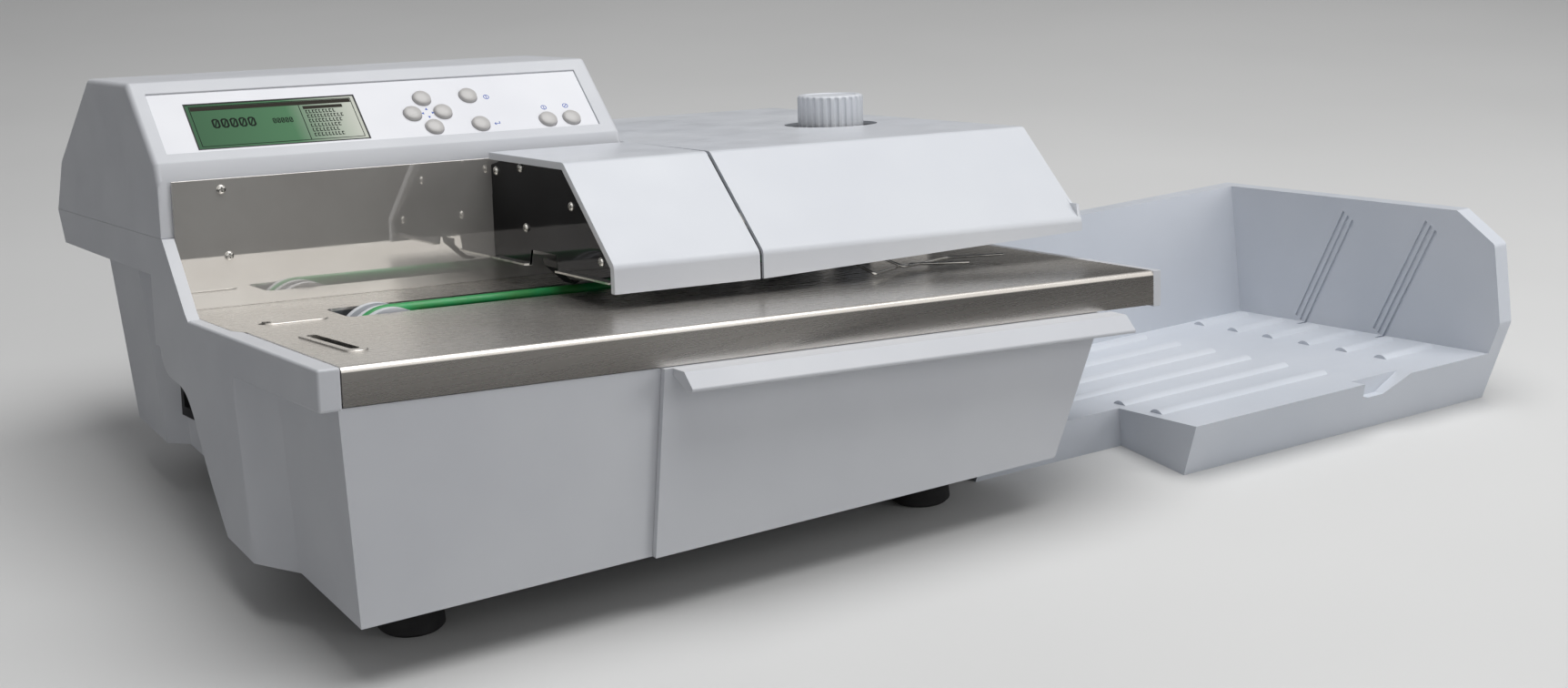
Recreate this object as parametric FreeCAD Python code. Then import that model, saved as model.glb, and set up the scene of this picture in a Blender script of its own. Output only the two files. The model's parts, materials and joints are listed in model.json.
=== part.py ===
import FreeCAD, Part
import math
import os

# Electric letter opener. Letters lie on a tilted steel deck against a rear fence, round belts carry
# them under the covers, a milling cutter trims the edge on the fence, and they drop into the tray.
# Lengths are in millimetres. Machine frame: X along the feed, Y from the operator to the back, Z square
# to the deck, origin at the deck's front left top corner. Everything is exported in the table frame,
# where Z is up and the origin is under the front left foot.

Vector = FreeCAD.Vector

# Stance on the table
tiltBack = 8.1
tiltRight = 4.25
deckCornerHeight = 169.2
footHeight = 42.0
footInset = 60.0
footRadius = 23.0
footTopRadius = 19.0
footSpacingX = 410.0
footSpacingY = 350.0

# Deck
deckLength = 642.0
deckDepth = 306.0
deckSheet = 2.0
deckBend = 2.0
apronDrop = 25.5
transportSlotLeft = 350.0
transportSlotRight = deckLength - 66.0
transportSlotFront = deckDepth - 60.0
transportSlotBack = transportSlotFront + 40.0
beltSlotLeft = 84.0
beltSlotRight = transportSlotLeft - 4.0
beltSlotFront = transportSlotFront - 50.0
beltSlotBack = beltSlotFront + 49.0
idlerX = beltSlotLeft + 34.0

# Housing
leftFace = -12.0
railDrop = 27.6
railRight = 3.7
endRailWidth = 8.0
wall = 3.5
bodyRightTop = deckLength - 52.0
bodyRightSlope = 0.395
collarBottom = 24.0
seamHeight = 53.0
collarBack = deckDepth + 286.0
collarBackLow = collarBack - 16.0
collarRight = deckLength + 3.0
cheekWidth = 9.0
panThickness = 3.0

# Fence and feeder side plate
fenceSheet = 2.0
fenceHeight = 93.5
fenceLeft = -2.5
fenceRight = deckLength + 4.0
sidePlateLeft = idlerX + 127.5
sidePlateSheet = 1.5
screwHeadRadius = 3.4
screwHeadHeight = 2.2

# Console
consoleRight = 361.0
consoleWall = 4.0
consoleNoseFront = deckDepth + 3.0
consoleNoseBottom = 94.3
slopeLowY = consoleNoseFront + 5.2
slopeLowZ = 106.7
slopeHighY = slopeLowY + 58.5
slopeHighZ = 161.9
consoleTopBack = slopeHighY + 103.9
consoleBackMidY = collarBack - 25.2
consoleBackMidZ = 98.1
consoleEdge = 4.0
panelLeft = 0.0
panelRight = 347.0
panelLow = 8.5
panelHigh = 68.5
panelThickness = 1.4
panelRecess = 1.2
panelLedge = 1.4
lcdLeft = 24.6
lcdRight = 157.0
lcdLow = 11.2
lcdHigh = 57.2
lcdDepth = 7.5
buttonRadius = 7.25
buttonClear = 0.3
buttonRise = 1.6
buttonDome = 1.9
buttonTravel = 1.0
boardDepth = 14.0
boardThickness = 1.6

# Covers
coverSheet = 3.0
coverFront = 96.5
coverCrease = 30.6
coverTopFront = deckDepth - 134.0
coverTopZ = 98.5
coverTopBackZ = 96.6
coverBack = collarBack - 23.0
coverLeft = consoleRight + 1.6
coverRight = deckLength + 8.0
skirtLow = 10.8
skirtHighRight = 21.2
coverRearLow = 68.0
hoodLeft = 242.0
hoodRight = coverLeft - 2.8
hoodBack = deckDepth - 4.7
hoodRim = 2.5
coverBend = 4.0
hingePinRadius = 2.5
hingeClear = 0.08

# Thickness knob
knobX = deckLength - 72.0
knobY = deckDepth + 29.0
knobRadius = 27.5
knobTop = 122.5
knobBottom = 94.5
knobFlutes = 26
knobHoleRadius = 39.0
knobShaftRadius = 5.0
eccentric = 1.5
pinRadius = 3.0
forkClear = 0.3

# Feed belt and pulleys
beltRadius = 4.0
beltY = beltSlotFront + 15.0
pulleyPitch = 28.0
pulleyZ = -28.0
feedDriveX = beltSlotRight - 28.0
pulleyHalfWidth = 19.0
pulleyCentreY = beltY + 8.0
shaftRadius = 4.0
runClear = 0.05
rollRadius = 12.0
flatBelt = 1.5
flatBeltTop = 1.2
transportDriveX = feedDriveX + 51.0
transportIdlerX = transportSlotRight - 18.0
transportBeltWidth = 28.0
driveBeltY = deckDepth - 9.0
toothedRadius = 7.5
driveBeltWidth = 8.0
driveBeltThickness = 1.6
motorX = feedDriveX - 33.0
motorZ = -20.0

# Cutter
cutterX = deckLength - 152.0
cutterRadius = 28.0
cutterThickness = 14.0
cutterTeeth = 24
cutterBite = 1.0
cutterBottom = 4.0
spindleRadius = 4.0
carriageTop = 40.0
carriageThickness = 6.0
carriageLeft = cutterX - 48.0
carriageRight = knobX + 30.0
guidePinRadius = 4.0
chassisThickness = 2.0

# Chip drawer, in the table frame measured from the deck corner
binLeft = 226.0
binRight = bodyRightTop - 73.0
binBack = 378.0
binTop = 84.0
binWall = 2.5
binFloorGap = 1.2
binLip = 9.0
runnerFoot = 9.0
doorLeftTop = 226.0
doorLeftLow = 216.0
doorRightTop = bodyRightTop - 8.0
doorRightLow = bodyRightTop - 42.0
doorProud = 5.4
doorGap = 0.4

# Output tray, in a frame with X level and Y and Z tilted back with the deck
trayFloor = -170.0
trayRim = -56.0
trayBack = deckDepth + 29.5
trayBlockLeft = deckLength + 21.0
trayBlockFront = 90.4
trayWellBack = deckDepth - 4.7
trayRightLow = trayBlockLeft + 316.0
trayRightHigh = trayRightLow + 10.0
trayWall = 3.2
trayRightWall = 13.0
grooveWidth = 3.0
grooveDepth = 1.6
grooveTop = -72.0
grooveLength = 116.0
trayUnderDeck = -80.0
trayRibPitch = 46.0
trayRibs = 6
trayRibWidth = 15.0
trayRibHeight = 3.0


# Frames

leanBack = FreeCAD.Rotation(Vector(1, 0, 0), -tiltBack)
leanRight = FreeCAD.Rotation(Vector(0, 1, 0), tiltRight)
deckCorner = Vector(-footInset, -footInset, deckCornerHeight + footHeight)
machineToTable = FreeCAD.Placement(deckCorner, leanRight.multiply(leanBack))
trayToTable = FreeCAD.Placement(deckCorner, leanBack)
levelToTable = FreeCAD.Placement(Vector(-footInset, -footInset, 0), FreeCAD.Rotation())


def moved(shape, placement):
    copy = shape.copy()
    copy.Placement = placement.multiply(copy.Placement)
    return copy


def levelInMachine(shape):
    return moved(shape, machineToTable.inverse().multiply(levelToTable))


# Building blocks

def box(x0, x1, y0, y1, z0, z1):
    return Part.makeBox(x1 - x0, y1 - y0, z1 - z0, Vector(x0, y0, z0))


def group(*shapes):
    return Part.makeCompound(list(shapes))


def prism(points, direction):
    wire = Part.makePolygon(points + [points[0]])
    return Part.Face(wire).extrude(direction)


def prismX(outline, x0, x1):
    return prism([Vector(x0, y, z) for y, z in outline], Vector(x1 - x0, 0, 0))


def prismY(outline, y0, y1):
    return prism([Vector(x, y0, z) for x, z in outline], Vector(0, y1 - y0, 0))


def prismZ(outline, z0, z1):
    return prism([Vector(x, y, z0) for x, y in outline], Vector(0, 0, z1 - z0))


def rod(radius, x, y, z, axis, length):
    directions = {"x": Vector(1, 0, 0), "y": Vector(0, 1, 0), "z": Vector(0, 0, 1)}
    return Part.makeCylinder(radius, length, Vector(x, y, z), directions[axis])


def union(shapes):
    result = shapes[0]
    for shape in shapes[1:]:
        result = result.fuse(shape)
    return result.removeSplitter()


def without(shape, cutters):
    for cutter in cutters:
        shape = shape.cut(cutter)
    return shape


def rounded(shape, radius, chosen):
    return shape.makeFillet(radius, [edge for edge in shape.Edges if chosen(edge)])


def alongX(edge):
    a, b = edge.Vertexes[0].Point, edge.Vertexes[-1].Point
    return abs(a.y - b.y) < 1e-6 and abs(a.z - b.z) < 1e-6 and abs(a.x - b.x) > 1e-6


def alongZ(edge):
    a, b = edge.Vertexes[0].Point, edge.Vertexes[-1].Point
    return abs(a.x - b.x) < 1e-6 and abs(a.y - b.y) < 1e-6 and abs(a.z - b.z) > 1e-6


def revolveAbout(profile, centre, axis):
    # The profile's pairs are distance from the axis and distance along it.
    across = Vector(1, 0, 0)
    points = [centre + across * r + axis * h for r, h in profile]
    wire = Part.makePolygon(points + [points[0]])
    return Part.Face(wire).revolve(centre, axis, 360)


def offsetPath(path, thickness):
    # The mitred path that lies the sheet's thickness to the right of the given path.
    normals = []
    for (y0, z0), (y1, z1) in zip(path, path[1:]):
        length = math.hypot(y1 - y0, z1 - z0)
        normals.append(((z1 - z0) / length, -(y1 - y0) / length))
    result = []
    for index, (y, z) in enumerate(path):
        before = normals[max(index - 1, 0)]
        after = normals[min(index, len(normals) - 1)]
        scale = thickness / (1 + before[0] * after[0] + before[1] * after[1])
        result.append((y + (before[0] + after[0]) * scale, z + (before[1] + after[1]) * scale))
    return result


def bentSheet(path, thickness, bend, x0, x1):
    # A folded sheet: the path is its outer face, bent with the given inner radius.
    inner = offsetPath(path, thickness)
    sheet = prismX(path + inner[::-1], x0, x1)
    for corners, radius in ((path, bend + thickness), (inner, bend)):
        for y, z in corners[1:-1]:
            sheet = rounded(sheet, radius, lambda edge: alongX(edge) and math.hypot(
                edge.Vertexes[0].Y - y, edge.Vertexes[0].Z - z) < 1e-3)
    return sheet


def belowTable(height):
    # Everything lower than a height above the table, seen from the machine frame.
    return levelInMachine(box(-900, 1500, -900, 1500, height - 600, height))


# Housing

def loftedBody(corners, top, bottom):
    # Each corner gives its plan position at the rails' underside and at the foot of the base.
    highRef, lowRef = -26.0, -170.0
    wires = []
    for z in (top, bottom):
        share = (highRef - z) / (highRef - lowRef)
        points = []
        for (xHigh, yHigh), (xLow, yLow) in corners:
            points.append(Vector(xHigh + (xLow - xHigh) * share, yHigh + (yLow - yHigh) * share, z))
        wires.append(Part.makePolygon(points + [points[0]]))
    return Part.makeLoft(wires, True, True)


def bodyRight(z):
    return bodyRightTop + bodyRightSlope * (z + 26.0)


bodyLow = -190.0
bodyFrontTop = 0.7
bodyFrontLow = 7.7
bodyBackTop = deckDepth + 170.5
bodyBackLow = bodyBackTop - 10.5
recessFaceTop = 17.9
recessFaceLow = 27.2


def bodyCorners(inset):
    rightHigh = bodyRight(-26.0) - inset
    rightLow = bodyRight(-170.0) - inset
    return [
        ((0.7 + inset, bodyFrontTop + inset), (10.0 + inset, bodyFrontLow + inset)),
        ((0.7 + inset, 112.0), (10.0 + inset, 112.0)),
        ((leftFace + inset, 168.0), (leftFace + inset, 142.0)),
        ((leftFace + inset, 178.0), (leftFace + inset, 160.0)),
        ((leftFace + inset, bodyBackTop - inset), (leftFace + inset, bodyBackLow - inset)),
        ((rightHigh, bodyBackTop - inset), (rightLow, bodyBackLow - inset)),
        ((rightHigh, bodyFrontTop + inset), (rightLow, bodyFrontLow + inset)),
    ]


def recessedCorners(inset):
    rightHigh = bodyRight(-26.0) - inset
    rightLow = bodyRight(-170.0) - inset
    return [
        ((recessFaceTop + inset, 150.0), (recessFaceLow + inset, 150.0)),
        ((recessFaceTop + inset, deckDepth + 84.0 + inset), (recessFaceLow + inset, deckDepth + 84.0 + inset)),
        ((1.2 + inset, deckDepth + 96.0 + inset), (14.6 + inset, deckDepth + 96.0 + inset)),
        ((1.2 + inset, bodyBackTop - inset), (14.6 + inset, bodyBackLow - inset)),
        ((rightHigh, bodyBackTop - inset), (rightLow, bodyBackLow - inset)),
        ((rightHigh, 150.0), (rightLow, 150.0)),
    ]


def leftRecess():
    # The skin ends at the back in a scalloped edge, and the wall behind it is set in.
    edge = Part.BSplineCurve()
    points = [(341, 24), (333, -20), (322, -42), (280, -52), (259, -69), (241, -95), (199, -144), (158, -196)]
    edge.interpolate([Vector(leftFace - 20, y, z) for y, z in points])
    start = Vector(leftFace - 20, *points[0])
    end = Vector(leftFace - 20, *points[-1])
    far = Part.makePolygon([end, Vector(leftFace - 20, 640, points[-1][1]), Vector(leftFace - 20, 640, 24), start])
    face = Part.Face(Part.Wire([edge.toShape()] + far.Edges))
    return face.extrude(Vector(80, 0, 0))


def baseHousing():
    skin = loftedBody(bodyCorners(0), collarBottom, bodyLow).cut(leftRecess())
    recessed = loftedBody(recessedCorners(0), collarBottom, bodyLow)
    aboveRails = box(-60, 700, -60, deckDepth + fenceSheet, -26, 60)
    lower = skin.fuse(recessed).cut(aboveRails)
    collar = prismX([(deckDepth + fenceSheet, collarBottom), (deckDepth + fenceSheet, seamHeight),
                     (collarBack, seamHeight), (collarBackLow, collarBottom + 3)], leftFace, collarRight)
    cheek = prismX([(deckDepth - 48, -railDrop), (deckDepth - 48, -0.6), (deckDepth - 42, 4.6),
                    (deckDepth + 1, seamHeight), (deckDepth + 35, seamHeight), (deckDepth + 35, -railDrop)],
                   leftFace, leftFace + cheekWidth)
    rearLip = box(consoleRight + 2.4, collarRight - wall, collarBack - 7.5, collarBack - 4.0, seamHeight - 2,
                  coverRearLow + 4)
    fenceWall = box(leftFace, bodyRight(0) - 2, deckDepth + fenceSheet, deckDepth + fenceSheet + wall,
                    -deckSheet, collarBottom + 1)
    rail = rounded(box(leftFace, railRight, 0, deckDepth - 44, -railDrop, 0), 2.0,
                   lambda edge: edge.CenterOfMass.y < 200 or edge.CenterOfMass.z > -1)
    railBack = deckDepth - 36
    rail = rail.cut(prismZ([(-2.6, 190.5), (3.6, 176.8), (4.3, 176.8), (4.3, railBack), (-2.6, railBack)],
                           -deckSheet, 5))
    ledgeFront = deckSheet + deckBend + 0.8
    ledge = box(railRight, bodyRight(-26.0), ledgeFront, deckDepth + fenceSheet, -27, -deckSheet)
    ledgeVoid = box(railRight + wall, bodyRight(-26.0) - wall, ledgeFront + wall,
                    deckDepth + fenceSheet, -30, 0)
    ledge = ledge.cut(ledgeVoid)
    shell = union([lower, collar, rearLip, cheek, fenceWall, rail, ledge])
    lowerVoid = loftedBody(bodyCorners(wall), -30, bodyLow - 5).cut(
        box(-60, 700, 192, 700, -250, 60))
    rearVoid = loftedBody(recessedCorners(wall), collarBottom - 4, bodyLow - 5).cut(
        box(-60, 700, deckDepth, deckDepth + fenceSheet + wall, -deckSheet, 60))
    rearVoid = rearVoid.cut(box(-60, 700, 0, deckDepth, -30, 60))
    collarVoid = box(leftFace + wall, collarRight - wall, deckDepth + fenceSheet + wall, collarBackLow - wall,
                     collarBottom + wall, seamHeight + 1)
    well = box(recessFaceTop + 12, bodyRight(0) - 16, deckDepth + fenceSheet + wall, bodyBackTop - 8,
               collarBottom - 20, collarBottom + wall + 1)
    underDeck = box(railRight + wall, bodyRight(-26.0) - 12, ledgeFront + wall, deckDepth, -31, 0)
    cutterWindow = box(cutterX - 24, cutterX + 24, deckDepth, deckDepth + 8, -deckSheet - 1, 22)
    inletHole = box(-30, 60, inletY - inletBodyY / 2, inletY + inletBodyY / 2,
                    inletZ - inletBodyZ / 2, inletZ + inletBodyZ / 2)
    switchHole = box(switchX - switchWidth / 2, switchX + switchWidth / 2, bodyBackTop - 36, bodyBackTop + 24,
                     switchZ - switchHigh / 2, switchZ + switchHigh / 2)
    drawerHole = levelInMachine(box(binLeft - binLip - 2.5, binRight + binLip + 2.5, -60, 20,
                                    footHeight + panThickness, binTop + 2))
    return without(shell, [lowerVoid, rearVoid, collarVoid, well, underDeck, cutterWindow, inletHole, switchHole,
                           drawerHole, belowTable(footHeight)])


inletY = deckDepth + 66.0
inletZ = -76.0
inletBodyY = 28.0
inletBodyZ = 21.0
inletFlange = 4.0
switchX = 70.0
switchZ = -70.0
switchWidth = 14.0
switchHigh = 22.0
rockerClear = 0.4
rockerPivotRadius = 1.5
rockerPivotIn = 3.4


def basePan():
    inner = loftedBody(bodyCorners(wall), -30, bodyLow - 5).cut(box(-60, 700, 192, 700, -250, 60))
    rear = loftedBody(recessedCorners(wall), -30, bodyLow - 5)
    slab = levelInMachine(box(-200, 900, -200, 800, footHeight, footHeight + panThickness))
    return inner.fuse(rear).removeSplitter().common(slab)


def feet():
    result = []
    for column in range(2):
        for row in range(2):
            centre = Vector(column * footSpacingX, row * footSpacingY, 0)
            profile = [(0, 0), (footRadius - 2, 0), (footRadius, 2), (footTopRadius, footHeight), (0, footHeight)]
            result.append(revolveAbout(profile, centre, Vector(0, 0, 1)))
    return Part.makeCompound(result)


def powerInlet():
    # A recessed three-pin inlet in the set-in part of the left side, square to the deck.
    lean = (recessFaceLow - recessFaceTop) / 144.0
    face = recessFaceTop - lean * (inletZ + 26.0)
    flange = box(face - 2.5, face, inletY - inletBodyY / 2 - inletFlange, inletY + inletBodyY / 2 + inletFlange,
                 inletZ - inletBodyZ / 2 - inletFlange, inletZ + inletBodyZ / 2 + inletFlange)
    flange = flange.cut(loftedBody(recessedCorners(0), collarBottom, bodyLow))
    body = box(face - 1, face + 22, inletY - inletBodyY / 2, inletY + inletBodyY / 2,
               inletZ - inletBodyZ / 2, inletZ + inletBodyZ / 2)
    mouth = rounded(box(face - 5, face + 16, inletY - 11, inletY + 11, inletZ - 7.5, inletZ + 7.5), 2.0,
                    lambda edge: alongX(edge))
    pins = [box(face + 9, face + 17, inletY + y - 1, inletY + y + 1, inletZ + z - 2, inletZ + z + 2)
            for y, z in ((-7, -1.5), (0, 2), (7, -1.5))]
    return union([flange.fuse(body).cut(mouth)] + pins)


def backFace(z):
    return bodyBackTop + (bodyBackLow - bodyBackTop) * (-26.0 - z) / 144.0


def switchFrame():
    outer = box(switchX - switchWidth / 2, switchX + switchWidth / 2, backFace(switchZ) - 14,
                backFace(switchZ) + 1.6, switchZ - switchHigh / 2, switchZ + switchHigh / 2)
    rim = box(switchX - switchWidth / 2 - 2, switchX + switchWidth / 2 + 2, backFace(switchZ) - 4,
              backFace(switchZ) + 1.6, switchZ - switchHigh / 2 - 2, switchZ + switchHigh / 2 + 2)
    rim = rim.cut(loftedBody(recessedCorners(0), collarBottom, bodyLow))
    inner = box(switchX - switchWidth / 2 + 1.5, switchX + switchWidth / 2 - 1.5, backFace(switchZ) - 11,
                backFace(switchZ) + 9, switchZ - switchHigh / 2 + 1.5, switchZ + switchHigh / 2 - 1.5)
    bearingHole = rod(rockerPivotRadius + runClear, switchX - switchWidth / 2 + 0.2,
                      backFace(switchZ) - rockerPivotIn, switchZ, "x", switchWidth - 0.4)
    return outer.fuse(rim).cut(inner).cut(bearingHole)


def switchRocker():
    # A shallow V across its pivot, which lies just inside the frame.
    half = switchHigh / 2 - 1.5 - rockerClear
    y = backFace(switchZ)
    outline = [(y - 7, switchZ), (y - 3.5, switchZ - half), (y + 1.2, switchZ - half + 0.3), (y + 1.6, switchZ),
               (y + 4.2, switchZ + half - 0.9), (y - 3.5, switchZ + half - 0.4)]
    pivot = rod(rockerPivotRadius, switchX - switchWidth / 2 + 0.4, y - rockerPivotIn, switchZ, "x",
                switchWidth - 0.8)
    return union([prismX(outline, switchX - switchWidth / 2 + 1.5 + rockerClear,
                         switchX + switchWidth / 2 - 1.5 - rockerClear), pivot])


# Deck, fence and feeder side plate

def roundedSlot(x0, x1, y0, y1, radius, z0, z1):
    return rounded(box(x0, x1, y0, y1, z0, z1), radius, alongZ)


def embossed(start, end, radius, height, lip):
    # A raised pad with round ends between two points on the deck.
    along = Vector(end[0] - start[0], end[1] - start[1], 0)
    length = along.Length
    pad = roundedSlot(-radius, length + radius, -radius, radius, radius - 0.01, 0, height)
    pad = rounded(pad, lip, lambda edge: edge.CenterOfMass.z > height - 1e-6)
    turn = FreeCAD.Rotation(Vector(0, 0, 1), math.degrees(math.atan2(along.y, along.x)))
    return moved(pad, FreeCAD.Placement(Vector(start[0], start[1], 0), turn))


def deckPlate():
    path = [(0, -apronDrop), (0, 0), (deckDepth, 0)]
    plate = bentSheet(path, deckSheet, deckBend, -2.0, deckLength)
    leftEdge = prismZ([(-9, -1), (4.0, -1), (4.0, 177), (-2.0, 190), (-9, 190)], -60, 5)
    stepUp = embossed((31.5, 130), (35.5, 57), 8.0, 1.2, 0.8)
    strip = embossed((33, 207), (63, 207), 9.0, 0.9, 0.6)
    oval = embossed((31.5, 127), (35.5, 60), 3.5, 12, 0.4)
    cuts = [leftEdge, oval.translate(Vector(0, 0, -6)), rod(4.5, 26.5, 207, -4, "z", 9),
            roundedSlot(beltSlotLeft, beltSlotRight, beltSlotFront, beltSlotBack, 7.0, -6, 3),
            roundedSlot(transportSlotLeft, transportSlotRight, transportSlotFront, transportSlotBack, 3.0, -6, 3)]
    notch = box(-3, 4, 284, 298, -6, 3)
    return without(union([plate, stepUp, strip]), cuts + [notch])


def endRail():
    body = box(deckLength, deckLength + endRailWidth, 0, deckDepth, -27, 0)
    body = rounded(body, 2.0, lambda edge: edge.CenterOfMass.x > deckLength + endRailWidth - 1)
    lip = box(deckLength - 10, deckLength + 1, deckSheet + deckBend + 0.6, deckDepth, -6, -deckSheet)
    return body.fuse(lip).removeSplitter()


def fencePlate():
    plate = box(fenceLeft, fenceRight, deckDepth, deckDepth + fenceSheet, 0, fenceHeight)
    notch = prismX([(deckDepth - 1, -1), (deckDepth + 4, -1), (deckDepth + 4, 1.5), (deckDepth - 1, 1.5)],
                   fenceLeft - 1, fenceLeft + 8)
    window = box(cutterX - 22, cutterX + 22, deckDepth - 1, deckDepth + 4, 1.8, 21)
    return without(plate, [window, notch])


sidePlateFrontLow = 104.0
sidePlateTopFront = 184.0
flapFront = beltY - 17.0
flapBack = beltY + 32.0


def feederSidePlate():
    outline = [(sidePlateFrontLow, 17), (sidePlateFrontLow - 1.5, 28), (sidePlateTopFront, 93.4),
               (deckDepth - 22, 93.4), (deckDepth - 0.3, 88.5), (deckDepth - 0.3, 17), (flapBack, 17), (flapBack - 4, 29),
               (flapFront + 4, 29), (flapFront, 17)]
    plate = prismX(outline, sidePlateLeft, sidePlateLeft + sidePlateSheet)
    tab = box(sidePlateLeft, sidePlateLeft + 18, deckDepth - 0.3 - sidePlateSheet, deckDepth, 26, 66)
    return plate.fuse(tab).removeSplitter()


fenceScrews = [(33.5, 85.7), (36.3, 37.2)]
sideScrews = [(deckDepth - 10.0, 84.5), (deckDepth - 54.0, 89.4), (167.0, 67.0), (deckDepth - 60.0, 45.0),
              (122.0, 31.0)]


def plateScrews():
    screws = []
    for x, z in fenceScrews:
        screws.append(panHead(Vector(x, deckDepth, z), Vector(0, -1, 0)))
    for y, z in sideScrews:
        screws.append(panHead(Vector(sidePlateLeft, y, z), Vector(-1, 0, 0)))
    return Part.makeCompound(screws)


def panHead(seat, outward):
    head = Part.makeCylinder(screwHeadRadius, screwHeadHeight, seat, outward)
    rim = [edge for edge in head.Edges if (edge.CenterOfMass - seat).dot(outward) > screwHeadHeight - 1e-6]
    head = head.makeFillet(screwHeadHeight * 0.6, rim)
    socket = Part.makeCylinder(screwHeadRadius * 0.3, screwHeadHeight, seat + outward * 1.2, outward)
    return head.cut(socket)


def separatorBracket():
    front, back = beltY - 13, beltY + 29
    foot = box(sidePlateLeft + sidePlateSheet, sidePlateLeft + 30, front, back, 62, 64)
    post = box(sidePlateLeft + 28, sidePlateLeft + 30, front, back, 26, 64)
    tab = box(sidePlateLeft + sidePlateSheet, sidePlateLeft + sidePlateSheet + 1.5, front, back, 40, 63)
    return union([foot, post, tab])


def separatorPad():
    # A rubber stop that leans down to the belt and lets one letter through at a time.
    x = sidePlateLeft + 30
    outline = [(x, 60), (x, 26), (x - 8, 14), (x + 4, beltRadius + 1.0), (x + 12, beltRadius + 1.0), (x + 8, 26),
               (x + 8, 60)]
    return prismY(outline, beltY - 9, beltY + 25)


# Belts, pulleys and rollers

def spoolAt(x, y0, z, profile):
    return revolveAbout(profile, Vector(x, y0, z), Vector(0, 1, 0))


def feedPulley(x):
    y0 = pulleyCentreY - pulleyHalfWidth
    groove = beltY - y0
    outer = pulleyPitch + 2.6
    width = 2 * pulleyHalfWidth
    bore = shaftRadius
    wheel = spoolAt(x, y0, pulleyZ, [(bore, 0), (outer, 0), (outer, width), (bore, width)])
    ring = Part.makeTorus(pulleyPitch, beltRadius + 0.15, Vector(x, beltY, pulleyZ), Vector(0, 1, 0))
    openGroove = spoolAt(x, beltY - beltRadius - 0.15, pulleyZ,
                         [(pulleyPitch, 0), (outer + 1, 0), (outer + 1, 2 * beltRadius + 0.3),
                          (pulleyPitch, 2 * beltRadius + 0.3)])
    waist = spoolAt(x, y0 + groove + 10, pulleyZ, [(14, 0), (outer + 1, 0), (outer + 1, 11), (14, 11)])
    return without(wheel, [ring, openGroove, waist])


def feedBelt():
    top = pulleyZ + pulleyPitch
    runs = [rod(beltRadius, idlerX, beltY, z, "x", feedDriveX - idlerX) for z in (top, pulleyZ - pulleyPitch)]
    ends = []
    for x, side in ((idlerX, -1), (feedDriveX, 1)):
        ring = Part.makeTorus(pulleyPitch, beltRadius, Vector(x, beltY, pulleyZ), Vector(0, 1, 0))
        keep = box(min(x, x + side * 60), max(x, x + side * 60), beltY - 10, beltY + 10, -90, 20)
        ends.append(ring.common(keep))
    return union(runs + ends)


def shaft(x, z, y0, y1):
    return rod(shaftRadius, x, y0, z, "y", y1 - y0)


transportZ = flatBeltTop - flatBelt - 0.1 - rollRadius
transportFront = (transportSlotFront + transportSlotBack) / 2 - transportBeltWidth / 2


def roller(x):
    return spoolAt(x, transportFront, transportZ,
                   [(shaftRadius, 0), (rollRadius - 0.6, 0), (rollRadius, 3), (rollRadius, transportBeltWidth - 3),
                    (rollRadius - 0.6, transportBeltWidth), (shaftRadius, transportBeltWidth)])


def loopBelt(centres, radius, thickness, y0, width):
    # A belt round equal pulleys: the hull of their circles, as a band.
    bands = []
    for r in (radius + thickness, radius):
        points = [Vector(x, y0, z) for x, z in centres]
        discs = [rod(r, p.x, y0, p.z, "y", width) for p in points]
        sides = []
        for a, b in zip(points, points[1:] + points[:1]):
            along = (b - a).normalize()
            out = Vector(along.z, 0, -along.x) * r
            sides.append(prism([a + out, b + out, b - out, a - out], Vector(0, width, 0)))
        if len(points) > 2:
            sides.append(prism(points, Vector(0, width, 0)))
        bands.append(union(discs + sides))
    return bands[0].cut(bands[1])


feedPlateFront = beltY - 23.0
feedPlateBack = beltY + 38.5
feedPlateSheet = 2.5
transportPlateFront = transportSlotFront - 5.0
transportPlateBack = transportSlotBack + 2.0
framePlateLow = -64.0


def bearingPlate(x0, x1, y, low, high, holes, sheet):
    plate = rounded(box(x0, x1, y, y + sheet, low, -deckSheet), 8.0,
                    lambda edge: abs(edge.CenterOfMass.z - low) < 1e-6 and not alongX(edge) and edge.Length < 5)
    flange = box(x0, x1, min(y, y + high), max(y + sheet, y + high), -deckSheet - sheet, -deckSheet)
    cuts = [rod(shaftRadius + 3.0, x, y - 20, z, "y", 60) for x, z in holes]
    return without(plate.fuse(flange).removeSplitter(), cuts)


def driveFrame():
    feedHoles = [(idlerX, pulleyZ), (feedDriveX, pulleyZ)]
    rollHoles = [(transportDriveX, transportZ), (transportIdlerX, transportZ)]
    plates = [
        bearingPlate(idlerX - 26, feedDriveX + 23, feedPlateFront, framePlateLow, -10, feedHoles, feedPlateSheet),
        bearingPlate(idlerX - 26, feedDriveX + 23, feedPlateBack, framePlateLow, 12, feedHoles, feedPlateSheet),
        bearingPlate(transportSlotLeft, transportSlotRight + 1, transportPlateFront, -36, -10, rollHoles,
                     feedPlateSheet),
        bearingPlate(transportSlotLeft, transportSlotRight + 1, transportPlateBack, -36, -7, rollHoles,
                     feedPlateSheet)]
    return Part.makeCompound(plates)


def bearing(x, y, z, width):
    outer = rod(shaftRadius + 3.0, x, y, z, "y", width)
    return outer.cut(rod(shaftRadius + runClear, x, y - 1, z, "y", width + 2))


def bearings():
    result = []
    for x in (idlerX, feedDriveX):
        for y in (feedPlateFront, feedPlateBack):
            result.append(bearing(x, y, pulleyZ, feedPlateSheet))
    for x in (transportDriveX, transportIdlerX):
        for y in (transportPlateFront, transportPlateBack):
            result.append(bearing(x, y, transportZ, feedPlateSheet))
    return Part.makeCompound(result)


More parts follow.
